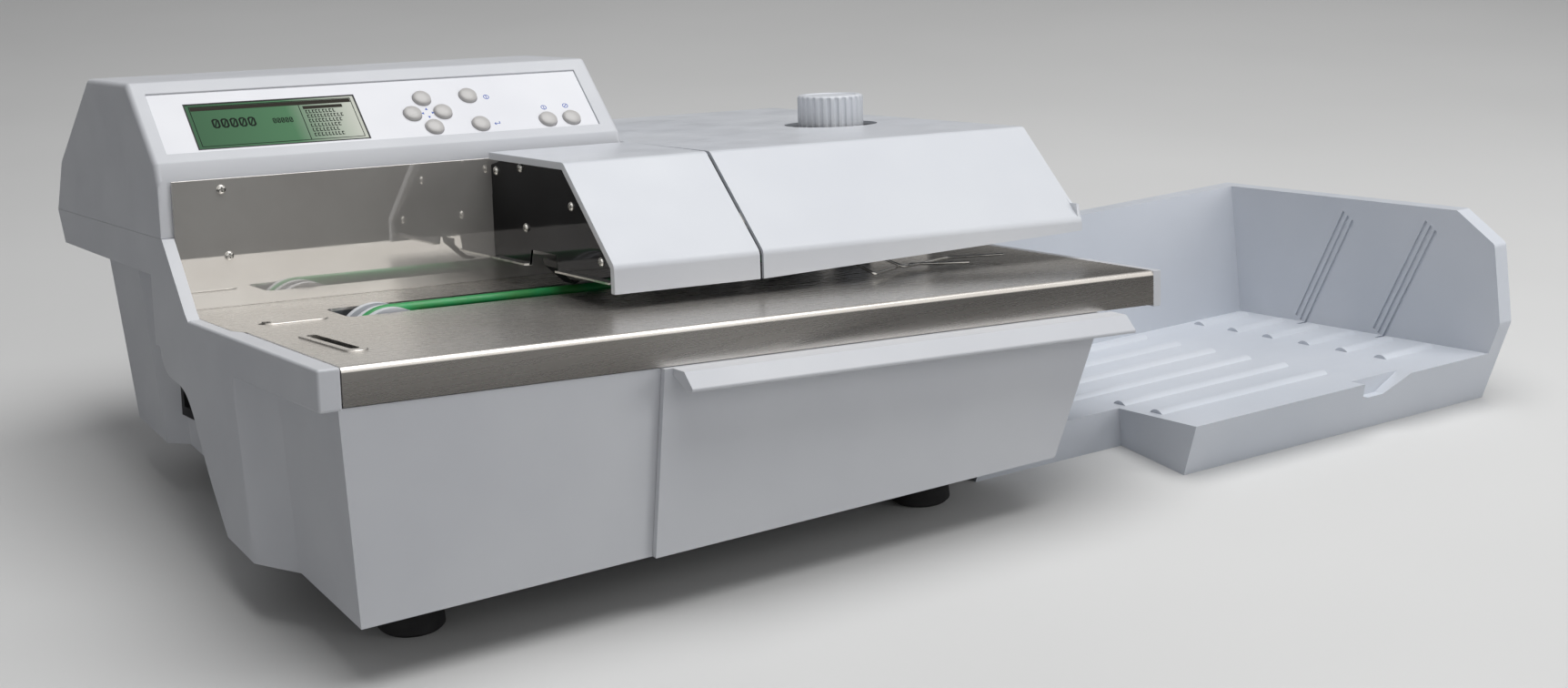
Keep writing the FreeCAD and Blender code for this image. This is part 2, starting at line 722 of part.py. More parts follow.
def toothedPulley(x, z, bore):
    y0 = driveBeltY - driveBeltWidth / 2 - 0.5
    flangeRadius = toothedRadius + 2.0
    body = spoolAt(x, y0 - 1, z, [(bore, 0), (flangeRadius, 0), (flangeRadius, 1), (toothedRadius - 0.1, 1),
                                  (toothedRadius - 0.1, driveBeltWidth + 2), (flangeRadius, driveBeltWidth + 2),
                                  (flangeRadius, driveBeltWidth + 3), (bore, driveBeltWidth + 3)])
    grooves = []
    teeth = 12
    for index in range(teeth):
        angle = 2 * math.pi * index / teeth
        grooves.append(rod(0.8, x + toothedRadius * math.cos(angle), y0, z + toothedRadius * math.sin(angle),
                           "y", driveBeltWidth + 1))
    return body.cut(Part.makeCompound(grooves))


motorShaftRadius = 3.0
motorRadius = 23.0
motorLength = 58.0
motorFront = deckDepth + 6.0


def feedMotor():
    can = rod(motorRadius, motorX, motorFront, motorZ, "y", motorLength)
    can = rounded(can, 3.0, lambda edge: edge.CenterOfMass.y > motorFront + motorLength - 1e-6)
    boss = rod(10, motorX, motorFront - 3, motorZ, "y", 3.5)
    hole = rod(motorShaftRadius + runClear, motorX, motorFront - 4, motorZ, "y", 20)
    return can.fuse(boss).removeSplitter().cut(hole)


def motorBracket():
    # The plate hangs from the rear chassis and holds the motor by its front face.
    return box(motorX - motorRadius - 4, motorX + motorRadius + 4, motorFront + motorLength,
               motorFront + motorLength + 2.5, motorZ - motorRadius, collarBottom + wall)


# Cutter group

cutterY = deckDepth - cutterBite + cutterRadius
carriageFront = deckDepth + 12.0
carriageBack = carriageFront + 60.0
pinZ = 38.0
pinBlock = 16.0
pinBlockHalf = 6.5


def millingCutter():
    disc = rod(cutterRadius - 2.2, cutterX, cutterY, cutterBottom, "z", cutterThickness)
    teeth = []
    for index in range(cutterTeeth):
        turn = 360.0 * index / cutterTeeth
        outline = [(cutterRadius - 4, -1.6), (cutterRadius, -0.2), (cutterRadius - 0.4, 0.9), (cutterRadius - 4, 1.8)]
        tooth = prismZ(outline, 0, cutterThickness)
        place = FreeCAD.Placement(Vector(cutterX, cutterY, cutterBottom), FreeCAD.Rotation(Vector(0, 0, 1), turn))
        teeth.append(moved(tooth, place))
    hub = rod(9, cutterX, cutterY, cutterBottom + cutterThickness - 0.5, "z", 4.5)
    bore = rod(spindleRadius, cutterX, cutterY, 0, "z", 40)
    return union([disc, hub] + teeth).cut(bore)


spindleTop = 62.0
cutterMotorRadius = 19.0


def cutterSpindle():
    body = rod(spindleRadius, cutterX, cutterY, cutterBottom - 1, "z", spindleTop - cutterBottom + 1)
    cap = rod(7, cutterX, cutterY, cutterBottom - 2.4, "z", 2.4)
    return body.fuse(cap).removeSplitter()


def cutterMotor():
    can = rounded(rod(cutterMotorRadius, cutterX, cutterY, carriageTop, "z", 44), 3.0,
                  lambda edge: edge.CenterOfMass.z > 80)
    hole = rod(spindleRadius + runClear, cutterX, cutterY, carriageTop - 1, "z", spindleTop - carriageTop + 2)
    return can.cut(hole)


def cutterCarriage():
    plate = box(carriageLeft, carriageRight, carriageFront, carriageBack, carriageTop - carriageThickness, carriageTop)
    blocks = [box(x, x + pinBlock, carriageFront, carriageBack, pinZ - pinBlockHalf, pinZ + pinBlockHalf)
              for x in (carriageLeft, carriageRight - pinBlock)]
    bores = [rod(guidePinRadius + runClear, x + pinBlock / 2, carriageFront - 2, pinZ, "y", 90)
             for x in (carriageLeft, carriageRight - pinBlock)]
    spindleHole = rod(spindleRadius + 1.0, cutterX, cutterY, 20, "z", 40)
    slide = without(union([plate] + blocks), bores + [spindleHole])
    lugs = [box(knobX - 7, knobX + 7, y, y + 4, carriageTop, carriageTop + 7)
            for y in (knobY - pinRadius - forkClear - 4, knobY + pinRadius + forkClear)]
    return group(slide, *lugs)


def carriageGuides():
    # Each rod is screwed between two posts.
    pieces = []
    front, back = deckDepth + fenceSheet + wall + 0.5, carriageBack + 4
    for x in (carriageLeft, carriageRight - pinBlock):
        for y in (front, back):
            pieces.append(box(x + 1, x + pinBlock - 1, y, y + 4.0, chassisTop, pinZ + 7))
        pieces.append(rod(guidePinRadius, x + pinBlock / 2, front + 4, pinZ, "y", back - front - 4))
    return Part.makeCompound(pieces)


chassisTop = collarBottom + wall + chassisThickness


def chassisPlate():
    plate = box(leftFace + wall + 0.3, collarRight - wall - 0.3, deckDepth + fenceSheet + wall + 0.2,
                collarBackLow - wall - 0.3, chassisTop - chassisThickness, chassisTop)
    chipHole = box(cutterX - 37, cutterX + 37, deckDepth, chuteBack + 3, chassisTop - 5, chassisTop + 1)
    wires = rod(14, 60, 440, chassisTop - 5, "z", 10)
    return without(plate, [chipHole, wires])


chuteHalf = 36.0
chuteBack = deckDepth + 65.0


def chipChute():
    outer = box(cutterX - chuteHalf, cutterX + chuteHalf, deckDepth + fenceSheet + wall + 0.3, chuteBack, -60, 24)
    inner = box(cutterX - chuteHalf + 1.5, cutterX + chuteHalf - 1.5, deckDepth + fenceSheet + wall + 1.8,
                chuteBack - 1.5, -70, 22.5)
    rim = box(cutterX - chuteHalf - 8, cutterX + chuteHalf + 8, deckDepth + 24, chuteBack + 9, chassisTop,
              chassisTop + 1.5)
    neck = box(cutterX - chuteHalf, cutterX + chuteHalf, deckDepth + 34, chuteBack, 20, chassisTop + 1.5)
    window = box(cutterX - 24, cutterX + 24, deckDepth, deckDepth + 14, -1, 21.5)
    hubHole = rod(11, cutterX, cutterY + 1, 15, "z", 30)
    shell = union([outer, rim, neck])
    inner = inner.fuse(box(cutterX - chuteHalf + 1.5, cutterX + chuteHalf - 1.5, deckDepth + 35.5, chuteBack - 1.5,
                           10, 40))
    return without(shell, [inner, window, hubHole, belowTable(binTop + 6)])


# Knob

def depthKnob():
    height = knobTop - knobBottom
    body = rod(knobRadius, knobX, knobY, knobBottom, "z", height)
    body = body.makeChamfer(2.0, [edge for edge in body.Edges if edge.CenterOfMass.z > knobTop - 1e-6])
    flutes = []
    for index in range(knobFlutes):
        angle = 2 * math.pi * index / knobFlutes
        reach = knobRadius + 1.6
        flutes.append(rod(3.0, knobX + reach * math.cos(angle), knobY + reach * math.sin(angle), knobBottom - 1,
                          "z", height - 1.0))
    dish = rod(knobRadius - 6, knobX, knobY, knobTop - 0.8, "z", 2)
    under = rod(knobRadius - 4, knobX, knobY, knobBottom - 1, "z", 9)
    stem = rod(knobShaftRadius + 6, knobX, knobY, knobBottom, "z", 14)
    bore = rod(knobShaftRadius, knobX, knobY, knobBottom - 1, "z", height - 6)
    return without(body, flutes + [dish, under]).fuse(stem).cut(bore).removeSplitter()


bridgeTop = 66.0
bridgeThickness = 4.0


def knobShaft():
    # The eccentric pin under the shaft moves the carriage's fork as the knob turns.
    low = carriageTop + 8
    body = rod(knobShaftRadius, knobX, knobY, low, "z", knobTop - 7 - low)
    collar = rod(knobShaftRadius + 3, knobX, knobY, bridgeTop + 0.3, "z", 4)
    pin = rod(pinRadius, knobX + eccentric, knobY, carriageTop + 0.8, "z", low - carriageTop - 0.8)
    return group(union([body, collar]), pin)


def knobBridge():
    left = carriageRight - pinBlock - 34
    right = carriageRight + 8
    top = box(left, right, knobY - 14, knobY + 14, bridgeTop - bridgeThickness, bridgeTop)
    legFar = box(right - 4, right, knobY - 14, knobY + 14, chassisTop, bridgeTop)
    legBack = box(left, right, carriageBack + 12, carriageBack + 16, chassisTop, bridgeTop)
    arm = box(left, right, knobY, carriageBack + 16, bridgeTop - bridgeThickness, bridgeTop)
    bore = rod(knobShaftRadius + runClear, knobX, knobY, bridgeTop - 10, "z", 20)
    return union([top, legFar, legBack, arm]).cut(bore)


# Covers

def coverPath(low):
    return [(coverFront, low), (coverFront, coverCrease), (coverTopFront, coverTopZ)]


def taperedSkirt(x0, x1):
    # The skirt's lower edge rises along the main cover.
    rise = (skirtHighRight - skirtLow) / (coverRight - coverLeft)
    lowAt = lambda x: skirtLow + rise * max(x - coverLeft, 0)
    return prismY([(x0 - 1, -60), (x0 - 1, lowAt(x0)), (x1 + 1, lowAt(x1)), (x1 + 1, -60)], 60, 700)


def feederHood():
    path = coverPath(skirtLow) + [(hoodBack, coverTopZ)]
    sheet = bentSheet(path, coverSheet, coverBend, hoodLeft, hoodRight)
    rimPath = offsetPath(path, coverSheet)
    innerRim = offsetPath(path, coverSheet + hoodRim)
    rim = prismX(rimPath + innerRim[::-1], hoodLeft, hoodLeft + 2.0)
    closing = prismX(rimPath + innerRim[::-1], hoodRight - 2.0, hoodRight)
    return union([sheet, rim, closing])


hoodHingeY = hoodBack - 2.0
hoodPinRadius = 1.5
hoodKnuckleRadius = 3.0
hoodHingeZ = coverTopZ - coverSheet - hoodKnuckleRadius - 0.1
coverHingeY = coverBack - 13.0
coverHingeZ = 82.0
coverSlope = (coverTopZ - coverTopBackZ) / (coverBack - coverTopFront)


def coverTopAt(y):
    return coverTopZ - coverSlope * (y - coverTopFront)


def mainCover():
    path = coverPath(-40) + [(coverBack, coverTopBackZ), (coverBack + 10, coverRearLow)]
    sheet = bentSheet(path, coverSheet, coverBend, coverLeft, coverRight).cut(taperedSkirt(coverLeft, coverRight))
    end = prismX([(deckDepth + 8, seamHeight + 1), (deckDepth + 8, coverTopZ - 3), (coverBack - 1, coverTopBackZ - 2),
                  (coverBack + 8, coverRearLow + 2), (coverBack + 5, seamHeight + 1)], coverRight - 2.5, coverRight)
    mouth = prismX([(deckDepth + 9, 60), (deckDepth + 9, coverTopZ - 2), (coverTopFront + 6, coverTopZ - 2),
                    (coverFront + 12, 42), (coverFront + 4, 42), (coverFront + 1.5, coverCrease),
                    (coverTopFront, coverTopZ - 1)], coverRight - 2.5, coverRight)
    rib = prismX([(deckDepth + 14, coverTopZ - 2), (coverBack - 20, coverTopBackZ - 2),
                  (coverBack - 20, coverTopBackZ - 8), (deckDepth + 14, coverTopZ - 8)], coverLeft + 40,
                 coverLeft + 42.5)
    hole = rod(knobHoleRadius, knobX, knobY, 60, "z", 60)
    return union([sheet, end, mouth, rib]).cut(hole)


coverHingeXs = [coverLeft + 37.4, coverRight - 50.0]
hoodHingeXs = [262.0, 330.0]
hingeWidth = 24.0
knuckleRadius = 5.0


def hingeBracket(x, y, z, footLow):
    # A post on the chassis stands ahead of the pin, and the fork's ears reach back to it over the
    # space that the cover's rear wall swings through.
    post = box(x - hingeWidth / 2, x + hingeWidth / 2, y - 30, y - 18, footLow, z - 14)
    ears = []
    for side in (x - hingeWidth / 2, x + hingeWidth / 2 - 4):
        arm = prismX([(y - 30, z - 20), (y - 18, z - 20), (y, z - knuckleRadius), (y, z + knuckleRadius),
                      (y - 30, z - 6)], side, side + 4)
        ears.append(arm.fuse(rod(knuckleRadius, side, y, z, "x", 4)))
    pin = rod(hingePinRadius, x - hingeWidth / 2, y, z, "x", hingeWidth)
    return union(ears + [post]).cut(pin)


def hingePins(xs, y, z, radius):
    return group(*[rod(radius, x - hingeWidth / 2 - 1, y, z, "x", hingeWidth + 2) for x in xs])


def hingeKnuckle(x, y, z, roofZ, pinRadius, radius):
    # The cover's half: a barrel on a web that hangs from the sheet.
    length = hingeWidth - 8 - 1.0
    barrel = rod(radius - 0.5, x - length / 2, y, z, "x", length)
    web = box(x - length / 2, x + length / 2, y - 2, y + 2, z, roofZ)
    bore = rod(pinRadius + hingeClear, x - length, y, z, "x", 2 * length)
    return barrel.fuse(web).removeSplitter().cut(bore)


def coverHinge():
    y = coverHingeY
    roof = coverTopAt(y + 3) - coverSheet
    return group(*[hingeKnuckle(x, y, coverHingeZ, roof, hingePinRadius, knuckleRadius) for x in coverHingeXs])


def hoodHinge():
    roof = coverTopZ - coverSheet
    return group(*[hingeKnuckle(x, hoodHingeY, hoodHingeZ, roof, hoodPinRadius, hoodKnuckleRadius)
                   for x in hoodHingeXs])


def hoodBrackets():
    # Forks on the fence's front face carry the hood's pins and stay clear of its swinging rear lip.
    r = hoodKnuckleRadius
    result = []
    for x in hoodHingeXs:
        ears = []
        for side in (x - hingeWidth / 2, x + hingeWidth / 2 - 4):
            arm = prismX([(hoodHingeY - r, hoodHingeZ), (hoodHingeY + r, hoodHingeZ), (hoodHingeY + r, hoodHingeZ - 5),
                          (deckDepth, hoodHingeZ - 9), (deckDepth, hoodHingeZ - 20), (hoodHingeY, hoodHingeZ - 14)],
                         side, side + 4)
            ears.append(arm.fuse(rod(r, side, hoodHingeY, hoodHingeZ, "x", 4)))
        web = box(x - hingeWidth / 2, x + hingeWidth / 2, deckDepth - 1.5, deckDepth, hoodHingeZ - 20, hoodHingeZ - 9)
        pin = rod(hoodPinRadius, x - hingeWidth / 2, hoodHingeY, hoodHingeZ, "x", hingeWidth)
        result.append(union(ears + [web]).cut(pin))
    return group(*result)


def coverBrackets():
    return group(*[hingeBracket(x, coverHingeY, coverHingeZ, chassisTop) for x in coverHingeXs])


# Pressure rollers and exit guides

beamLow = 44.0
pressureY = deckDepth - 38.0
armXs = [transportDriveX + 55.0, transportIdlerX - 12.0]
pressureRadius = 13.0
pressureZ = flatBeltTop + 0.5 + pressureRadius
pressureLead = 34.0
armPinRadius = 3.0
seatClear = 0.02
beamLeft = coverLeft + 17.4
beamRight = coverRight - 10.0


def rollerBeam():
    back = box(beamLeft, beamRight, deckDepth - 3, deckDepth, beamLow - 10, beamLow + 18)
    shelf = box(beamLeft, beamRight, pressureY - 22, deckDepth, beamLow + 15, beamLow + 18)
    lugs = []
    for x in armXs:
        for y in (pressureY - 18, pressureY + 16):
            lug = box(x - pressureLead - 6, x - pressureLead + 6, y, y + 3, beamLow - 6, beamLow + 16).fuse(
                rod(6, x - pressureLead, y, beamLow - 6, "y", 3))
            lugs.append(lug)
    bores = [rod(armPinRadius + seatClear, x - pressureLead, pressureY - 20, beamLow - 6, "y", 41) for x in armXs]
    return without(union([back, shelf] + lugs), bores)


def armPins():
    pins = [rod(armPinRadius, x - pressureLead, pressureY - 20, beamLow - 6, "y", 41) for x in armXs]
    return Part.makeCompound(pins)


def rollerArm(x):
    pivotX, pivotZ = x - pressureLead, beamLow - 6
    cheeks = []
    for y in (pressureY - 14, pressureY + 11.6):
        bar = prismY([(pivotX, pivotZ + 5), (pivotX, pivotZ - 5), (x, pressureZ - 5), (x, pressureZ + 5)], y, y + 2.4)
        cheeks.append(union([bar, rod(5, pivotX, y, pivotZ, "y", 2.4), rod(5, x, y, pressureZ, "y", 2.4)]))
    tie = rod(5.0, pivotX, pressureY - 14, pivotZ, "y", 28)
    axle = rod(2.5, x, pressureY - 14, pressureZ, "y", 28)
    bore = rod(armPinRadius + runClear, pivotX, pressureY - 28, pivotZ, "y", 60)
    return union(cheeks + [tie, axle]).cut(bore)


def pressureRoller(x):
    tyre = rounded(rod(pressureRadius, x, pressureY - 10, pressureZ, "y", 20), 1.5, lambda edge: edge.Length > 60)
    return tyre.cut(rod(2.5 + runClear, x, pressureY - 18, pressureZ, "y", 40))


def wireAlong(points, radius, bend):
    # A bent wire: straight runs joined by arcs of one bend radius.
    path = [Vector(*point) for point in points]
    edges = []
    start = path[0]
    for before, corner, after in zip(path, path[1:], path[2:]):
        into = (before - corner).normalize()
        out = (after - corner).normalize()
        half = into.getAngle(out) / 2
        reach = bend / math.tan(half)
        first = corner + into * reach
        last = corner + out * reach
        middle = (into + out).normalize()
        centre = corner + middle * (bend / math.sin(half))
        top = centre - middle * bend
        edges.append(Part.makeLine(start, first))
        edges.append(Part.Arc(first, top, last).toShape())
        start = last
    edges.append(Part.makeLine(start, path[-1]))
    wire = Part.Wire(edges)
    tangent = (path[1] - path[0]).normalize()
    section = Part.Wire([Part.makeCircle(radius, path[0], tangent)])
    return wire.makePipeShell([section], True, False)


guideWire = 1.1


def exitGuides():
    # Springy wires hang from the roller shelf, touch down on the deck and turn up again.
    root = beamLow + 15 - guideWire - 0.1
    x = cutterX - 44.0
    y = pressureY - 18.0
    spans = [[(x, y, root), (x, y - 100, 22), (x + 16, y - 146, 4), (x + 69, y - 112, 3.2), (x + 102, y - 146, 5)],
             [(x + 24, y, root), (x + 24, y - 92, 22), (x + 54, y - 128, 4), (x + 114, y - 100, 3.2),
              (x + 144, y - 132, 6)]]
    return Part.makeCompound([wireAlong(span, guideWire, 3.0) for span in spans])


# Console

slopeAngle = math.degrees(math.atan2(slopeHighZ - slopeLowZ, slopeHighY - slopeLowY))
slopePlace = FreeCAD.Placement(Vector(0, slopeLowY, slopeLowZ), FreeCAD.Rotation(Vector(1, 0, 0), slopeAngle))
boardHeight = -boardDepth
buttonSpots = {
    "button_up": (209.8, 48.2), "button_left": (197.3, 33.0), "button_right": (222.3, 33.0),
    "button_down": (210.4, 18.0), "button_menu": (248.3, 48.2), "button_enter": (248.8, 18.0),
    "button_start": (305.8, 18.0), "button_stop": (326.2, 18.0)}


def onSlope(shape):
    return moved(shape, slopePlace)


def consoleProfile():
    return [(consoleNoseFront, seamHeight), (consoleNoseFront, consoleNoseBottom), (slopeLowY, slopeLowZ),
            (slopeHighY, slopeHighZ), (consoleTopBack, slopeHighZ), (consoleBackMidY, consoleBackMidZ),
            (collarBack, seamHeight)]


def consoleHousing():
    outline = consoleProfile()
    outer = prismX(outline, leftFace, consoleRight)
    outer = rounded(outer, consoleEdge, lambda edge: edge.CenterOfMass.z > consoleNoseBottom + 6
                    and edge.CenterOfMass.y < consoleBackMidY + 2)
    inner = offsetPath(outline, consoleWall)
    inner[0] = (inner[0][0], seamHeight - 1)
    inner[-1] = (inner[-1][0], seamHeight - 1)
    void = prismX(inner, leftFace + consoleWall, consoleRight - consoleWall)
    recess = onSlope(box(panelLeft, panelRight, panelLow, panelHigh, -panelRecess - panelThickness, 5))
    window = onSlope(box(panelLeft + panelLedge, panelRight - panelLedge, panelLow + panelLedge,
                         panelHigh - panelLedge, -9, 5))
    return without(outer, [void, recess, window])


def consolePanel():
    plate = box(panelLeft + 0.2, panelRight - 0.2, panelLow + 0.2, panelHigh - 0.2, -panelRecess - panelThickness,
                -panelRecess)
    cuts = [box(lcdLeft, lcdRight, lcdLow, lcdHigh, -9, 5)]
    for x, s in buttonSpots.values():
        cuts.append(rod(buttonRadius + buttonClear, x, s, -9, "z", 20))
    return onSlope(without(plate, cuts))


def lcdModule():
    back = -panelRecess - panelThickness
    glass = box(lcdLeft + 0.15, lcdRight - 0.15, lcdLow + 0.15, lcdHigh - 0.15, back - 1, -panelRecess - 0.4)
    module = box(lcdLeft - 4, lcdRight + 4, lcdLow - 0.5, lcdHigh + 4, back - lcdDepth, back)
    return onSlope(glass.fuse(module).removeSplitter())


def button(x, s):
    top = buttonRise - panelRecess
    cap = rod(buttonRadius, x, s, -panelRecess - panelThickness - 0.2, "z", top + panelRecess + panelThickness + 0.2)
    bulge = (buttonRadius ** 2 + buttonDome ** 2) / (2 * buttonDome)
    dome = Part.makeSphere(bulge, Vector(x, s, top + buttonDome - bulge)).common(
        rod(buttonRadius, x, s, top - 0.5, "z", buttonDome + 1))
    flange = rod(buttonRadius + 0.6, x, s, -panelRecess - panelThickness - 1.6, "z", 1.4)
    stem = rod(2.0, x, s, boardHeight + switchBody + buttonTravel + 0.3, "z",
               -panelRecess - panelThickness - 0.5 - (boardHeight + switchBody + buttonTravel + 0.3))
    return onSlope(union([cap, dome, flange, stem]))


switchBody = 3.5


def buttonBoard():
    plate = box(188, 338, 10.6, 60, boardHeight - boardThickness, boardHeight)
    switches = [box(x - 3, x + 3, s - 3, s + 3, boardHeight - 0.1, boardHeight + switchBody)
                for x, s in buttonSpots.values()]
    back = -panelRecess - panelThickness
    posts = [rod(3.0, x, s, boardHeight - 0.1, "z", back - boardHeight + 0.1)
             for x, s in ((192, 56), (334, 56), (270, 56), (270, 14.6))]
    return onSlope(union([plate] + switches + posts))


def powerSupply():
    front = consoleNoseFront + 91
    board = box(30, 190, front, front + 120, chassisTop + 6, chassisTop + 7.6)
    feetPosts = [rod(3, x, y, chassisTop, "z", 6.2) for x in (36, 184) for y in (front + 6, front + 114)]
    transformer = box(60, 105, front + 30, front + 70, chassisTop + 7.5, chassisTop + 40)
    capacitors = [rod(8, 130 + 20 * i, front + 40, chassisTop + 7.5, "z", 26) for i in range(3)]
    heatSink = box(120, 182, front + 80, front + 84, chassisTop + 7.5, chassisTop + 34)
    return union([board] + feetPosts + [transformer, heatSink] + capacitors)


# Chip drawer

def frontPlane(z, ahead):
    return bodyFrontTop + (bodyFrontLow - bodyFrontTop) * (-26.0 - z) / 144.0 - ahead


def drawerFront():
    zTop = -apronDrop - 0.6
    plate = prismX([(frontPlane(zTop, doorProud), zTop), (frontPlane(zTop, doorGap), zTop),
                    (frontPlane(-175, doorGap), -175), (frontPlane(-175, doorProud), -175)], doorLeftLow - 26,
                   doorRightTop + 48)
    outline = prismY([(doorLeftTop, zTop), (doorLeftLow, -170), (doorRightLow - 15, -170), (doorRightLow, -132),
                      (doorRightTop, -46), (doorRightTop + 8, zTop)], -40, 40)
    plate = plate.common(outline)
    lip = prismX([(frontPlane(zTop, doorProud) + 2, zTop), (-20, zTop - 0.4), (-33, -38.5), (-25, -39.3),
                  (frontPlane(-31, doorProud), -31), (frontPlane(-31, doorProud) + 2, -31)], doorLeftTop + 6,
                 doorRightTop + 18)
    lip = rounded(lip, 1.6, lambda edge: alongX(edge) and edge.CenterOfMass.y < -15)
    cut = [belowTable(footHeight + 0.4), box(0, 700, -2, 30, -apronDrop - 0.5, 10)]
    return without(plate.fuse(lip).removeSplitter(), cut)


def chipBin():
    floorZ = footHeight + panThickness + binFloorGap
    outer = levelInMachine(box(binLeft, binRight, -60, binBack, floorZ, binTop))
    lips = [levelInMachine(box(binLeft - binLip, binLeft + 1, 0, binBack, binTop - 2.5, binTop)),
            levelInMachine(box(binRight - 1, binRight + binLip, 0, binBack, binTop - 2.5, binTop))]
    ahead = prismX([(-90, 60), (frontPlane(60, doorGap), 60), (frontPlane(-240, doorGap), -240), (-90, -240)], 0, 700)
    inner = levelInMachine(box(binLeft + binWall, binRight - binWall, -60, binBack - binWall, floorZ + binWall,
                               binTop + 5))
    inner = inner.cut(prismX([(-90, 60), (frontPlane(60, doorGap) + binWall, 60),
                              (frontPlane(-240, doorGap) + binWall, -240), (-90, -240)], 0, 700))
    return union([outer.cut(ahead)] + lips).cut(inner)


def drawerRunners():
    floorZ = footHeight + panThickness
    rails = []
    for x0, x1, foot in ((binLeft - 6, binLeft - 3, -runnerFoot), (binRight + 3, binRight + 6, runnerFoot)):
        upright = levelInMachine(box(x0, x1, 12, binBack + 10, floorZ, binTop - 2.5 - 0.3))
        flat = levelInMachine(box(min(x0, x0 + foot), max(x1, x1 + foot), 12, binBack + 10, floorZ, floorZ + 2))
        rails.append(upright.fuse(flat).removeSplitter())
    return Part.makeCompound(rails)


# Output tray

def trayFrontAt(z):
    return 14.6 - 0.4525 * (z + 211.6)


def outputTray():
    deep = -245.0
    profile = [(trayFrontAt(deep), deep), (-15.9, -144.2), (-8.5, -80.5), (33.1, trayRim), (trayBack, trayRim),
               (trayBack, deep)]
    block = prismX(profile, trayBlockLeft, trayRightHigh + 5)
    block = rounded(block, 5.0, lambda edge: alongX(edge) and edge.CenterOfMass.z > -160
                    and edge.CenterOfMass.y < 100)
    draft = (trayRightHigh - trayRightLow) / 131.0
    rightAt = lambda z: trayRightLow + draft * (z + 211.6)
    block = block.cut(prismY([(rightAt(deep), deep), (rightAt(0), 0), (1100, 0), (1100, deep)], -100, 400))
    tongue = box(500, trayBlockLeft + 1, trayBlockFront, trayBack, deep, trayUnderDeck)
    body = block.fuse(tongue).removeSplitter()
    floorHigh, openHigh = trayFloor, 0.0
    well = []
    for z in (floorHigh, openHigh):
        rise = z - floorHigh
        right = rightAt(z) - trayRightWall
        back = trayWellBack + rise * 0.114
        well.append(Part.makePolygon([Vector(400, -100, z), Vector(right, -100, z), Vector(right, back, z),
                                      Vector(400, back, z), Vector(400, -100, z)]))
    well = Part.makeLoft(well, True, True)
    under = prismX([(trayFrontAt(deep) + trayWall, deep), (trayFrontAt(trayFloor - trayWall) + trayWall,
                    trayFloor - trayWall), (trayWellBack - 5.3, trayFloor - trayWall), (trayWellBack - 5.3, deep)],
                   trayBlockLeft + trayWall, trayRightLow - 8)
    underTongue = box(400, trayBlockLeft + trayWall + 1, trayBlockFront + trayWall, trayWellBack - 5.3, deep,
                      trayFloor - trayWall)
    backVoid = prismX([(deckDepth, deep), (deckDepth, trayFloor), (deckDepth + 12, trayRim - trayWall),
                       (trayBack - trayWall, trayRim - trayWall), (trayBack - trayWall, deep)],
                      trayBlockLeft + trayWall, trayRightLow - 8)
    n = trayBlockLeft + 170.0
    notch = prismY([(n, -160), (n + 3, -181), (n + 9, -183), (n + 25, -183), (n + 51, trayFloor), (n + 51, -160)],
                   -60, 12)
    notch = rounded(notch, 3.0, lambda edge: abs(edge.CenterOfMass.z + 183) < 1.5 and edge.Length > 50)
    # Two strips of three grooves lean up the right wall, which the draft tips outwards.
    grooves = []
    draftTurn = FreeCAD.Rotation(Vector(0, 1, 0), math.degrees(math.atan(draft)))
    for top, low in ((161.3, 220.9), (62.7, 122.9)):
        stripTurn = FreeCAD.Rotation(Vector(1, 0, 0), math.degrees(math.atan2(low - top, grooveTop - trayFloor)))
        for lane in (-6.5, 0.0, 6.5):
            groove = box(-9, grooveDepth, lane - grooveWidth / 2, lane + grooveWidth / 2, 1, grooveLength)
            foot = Vector(rightAt(trayFloor) - trayRightWall, low, trayFloor)
            grooves.append(moved(groove, FreeCAD.Placement(foot, draftTurn.multiply(stripTurn))))
    ribs = []
    for index in range(trayRibs):
        y = 54.0 + trayRibPitch * index
        bulge = (trayRibWidth ** 2 / 4 + trayRibHeight ** 2) / (2 * trayRibHeight)
        z = trayFloor + trayRibHeight - bulge
        left = 560.0 if y > trayBlockFront + 10 else trayBlockLeft + 8
        for x0, x1 in ((left, trayBlockLeft + 178.6), (trayBlockLeft + 242.6, trayBlockLeft + 296.0)):
            ribs.append(rod(bulge, x0, y, z, "x", x1 - x0).common(
                box(x0, x1, y - 20, y + 20, trayFloor - 1, trayFloor + 20)))
    body = without(body, [well, under, underTongue, backVoid] + grooves)
    scoop = box(n - 5, n + 59, trayFrontAt(-192) - 40, 16, -190, trayFloor).common(block)
    body = union([body, scoop]).cut(notch)
    body = union([body] + ribs)
    wedge = moved(prismY([(300, 120), (bodyRight(120) + 0.3, 120), (bodyRight(-300) + 0.3, -300), (300, -300)],
                         -200, 700), trayToTable.inverse().multiply(machineToTable))
    floorCut = moved(box(-900, 1500, -900, 1500, -500, 0), trayToTable.inverse())
    return body.cut(wedge).cut(floorCut)


# Every node with the frame it is drawn in

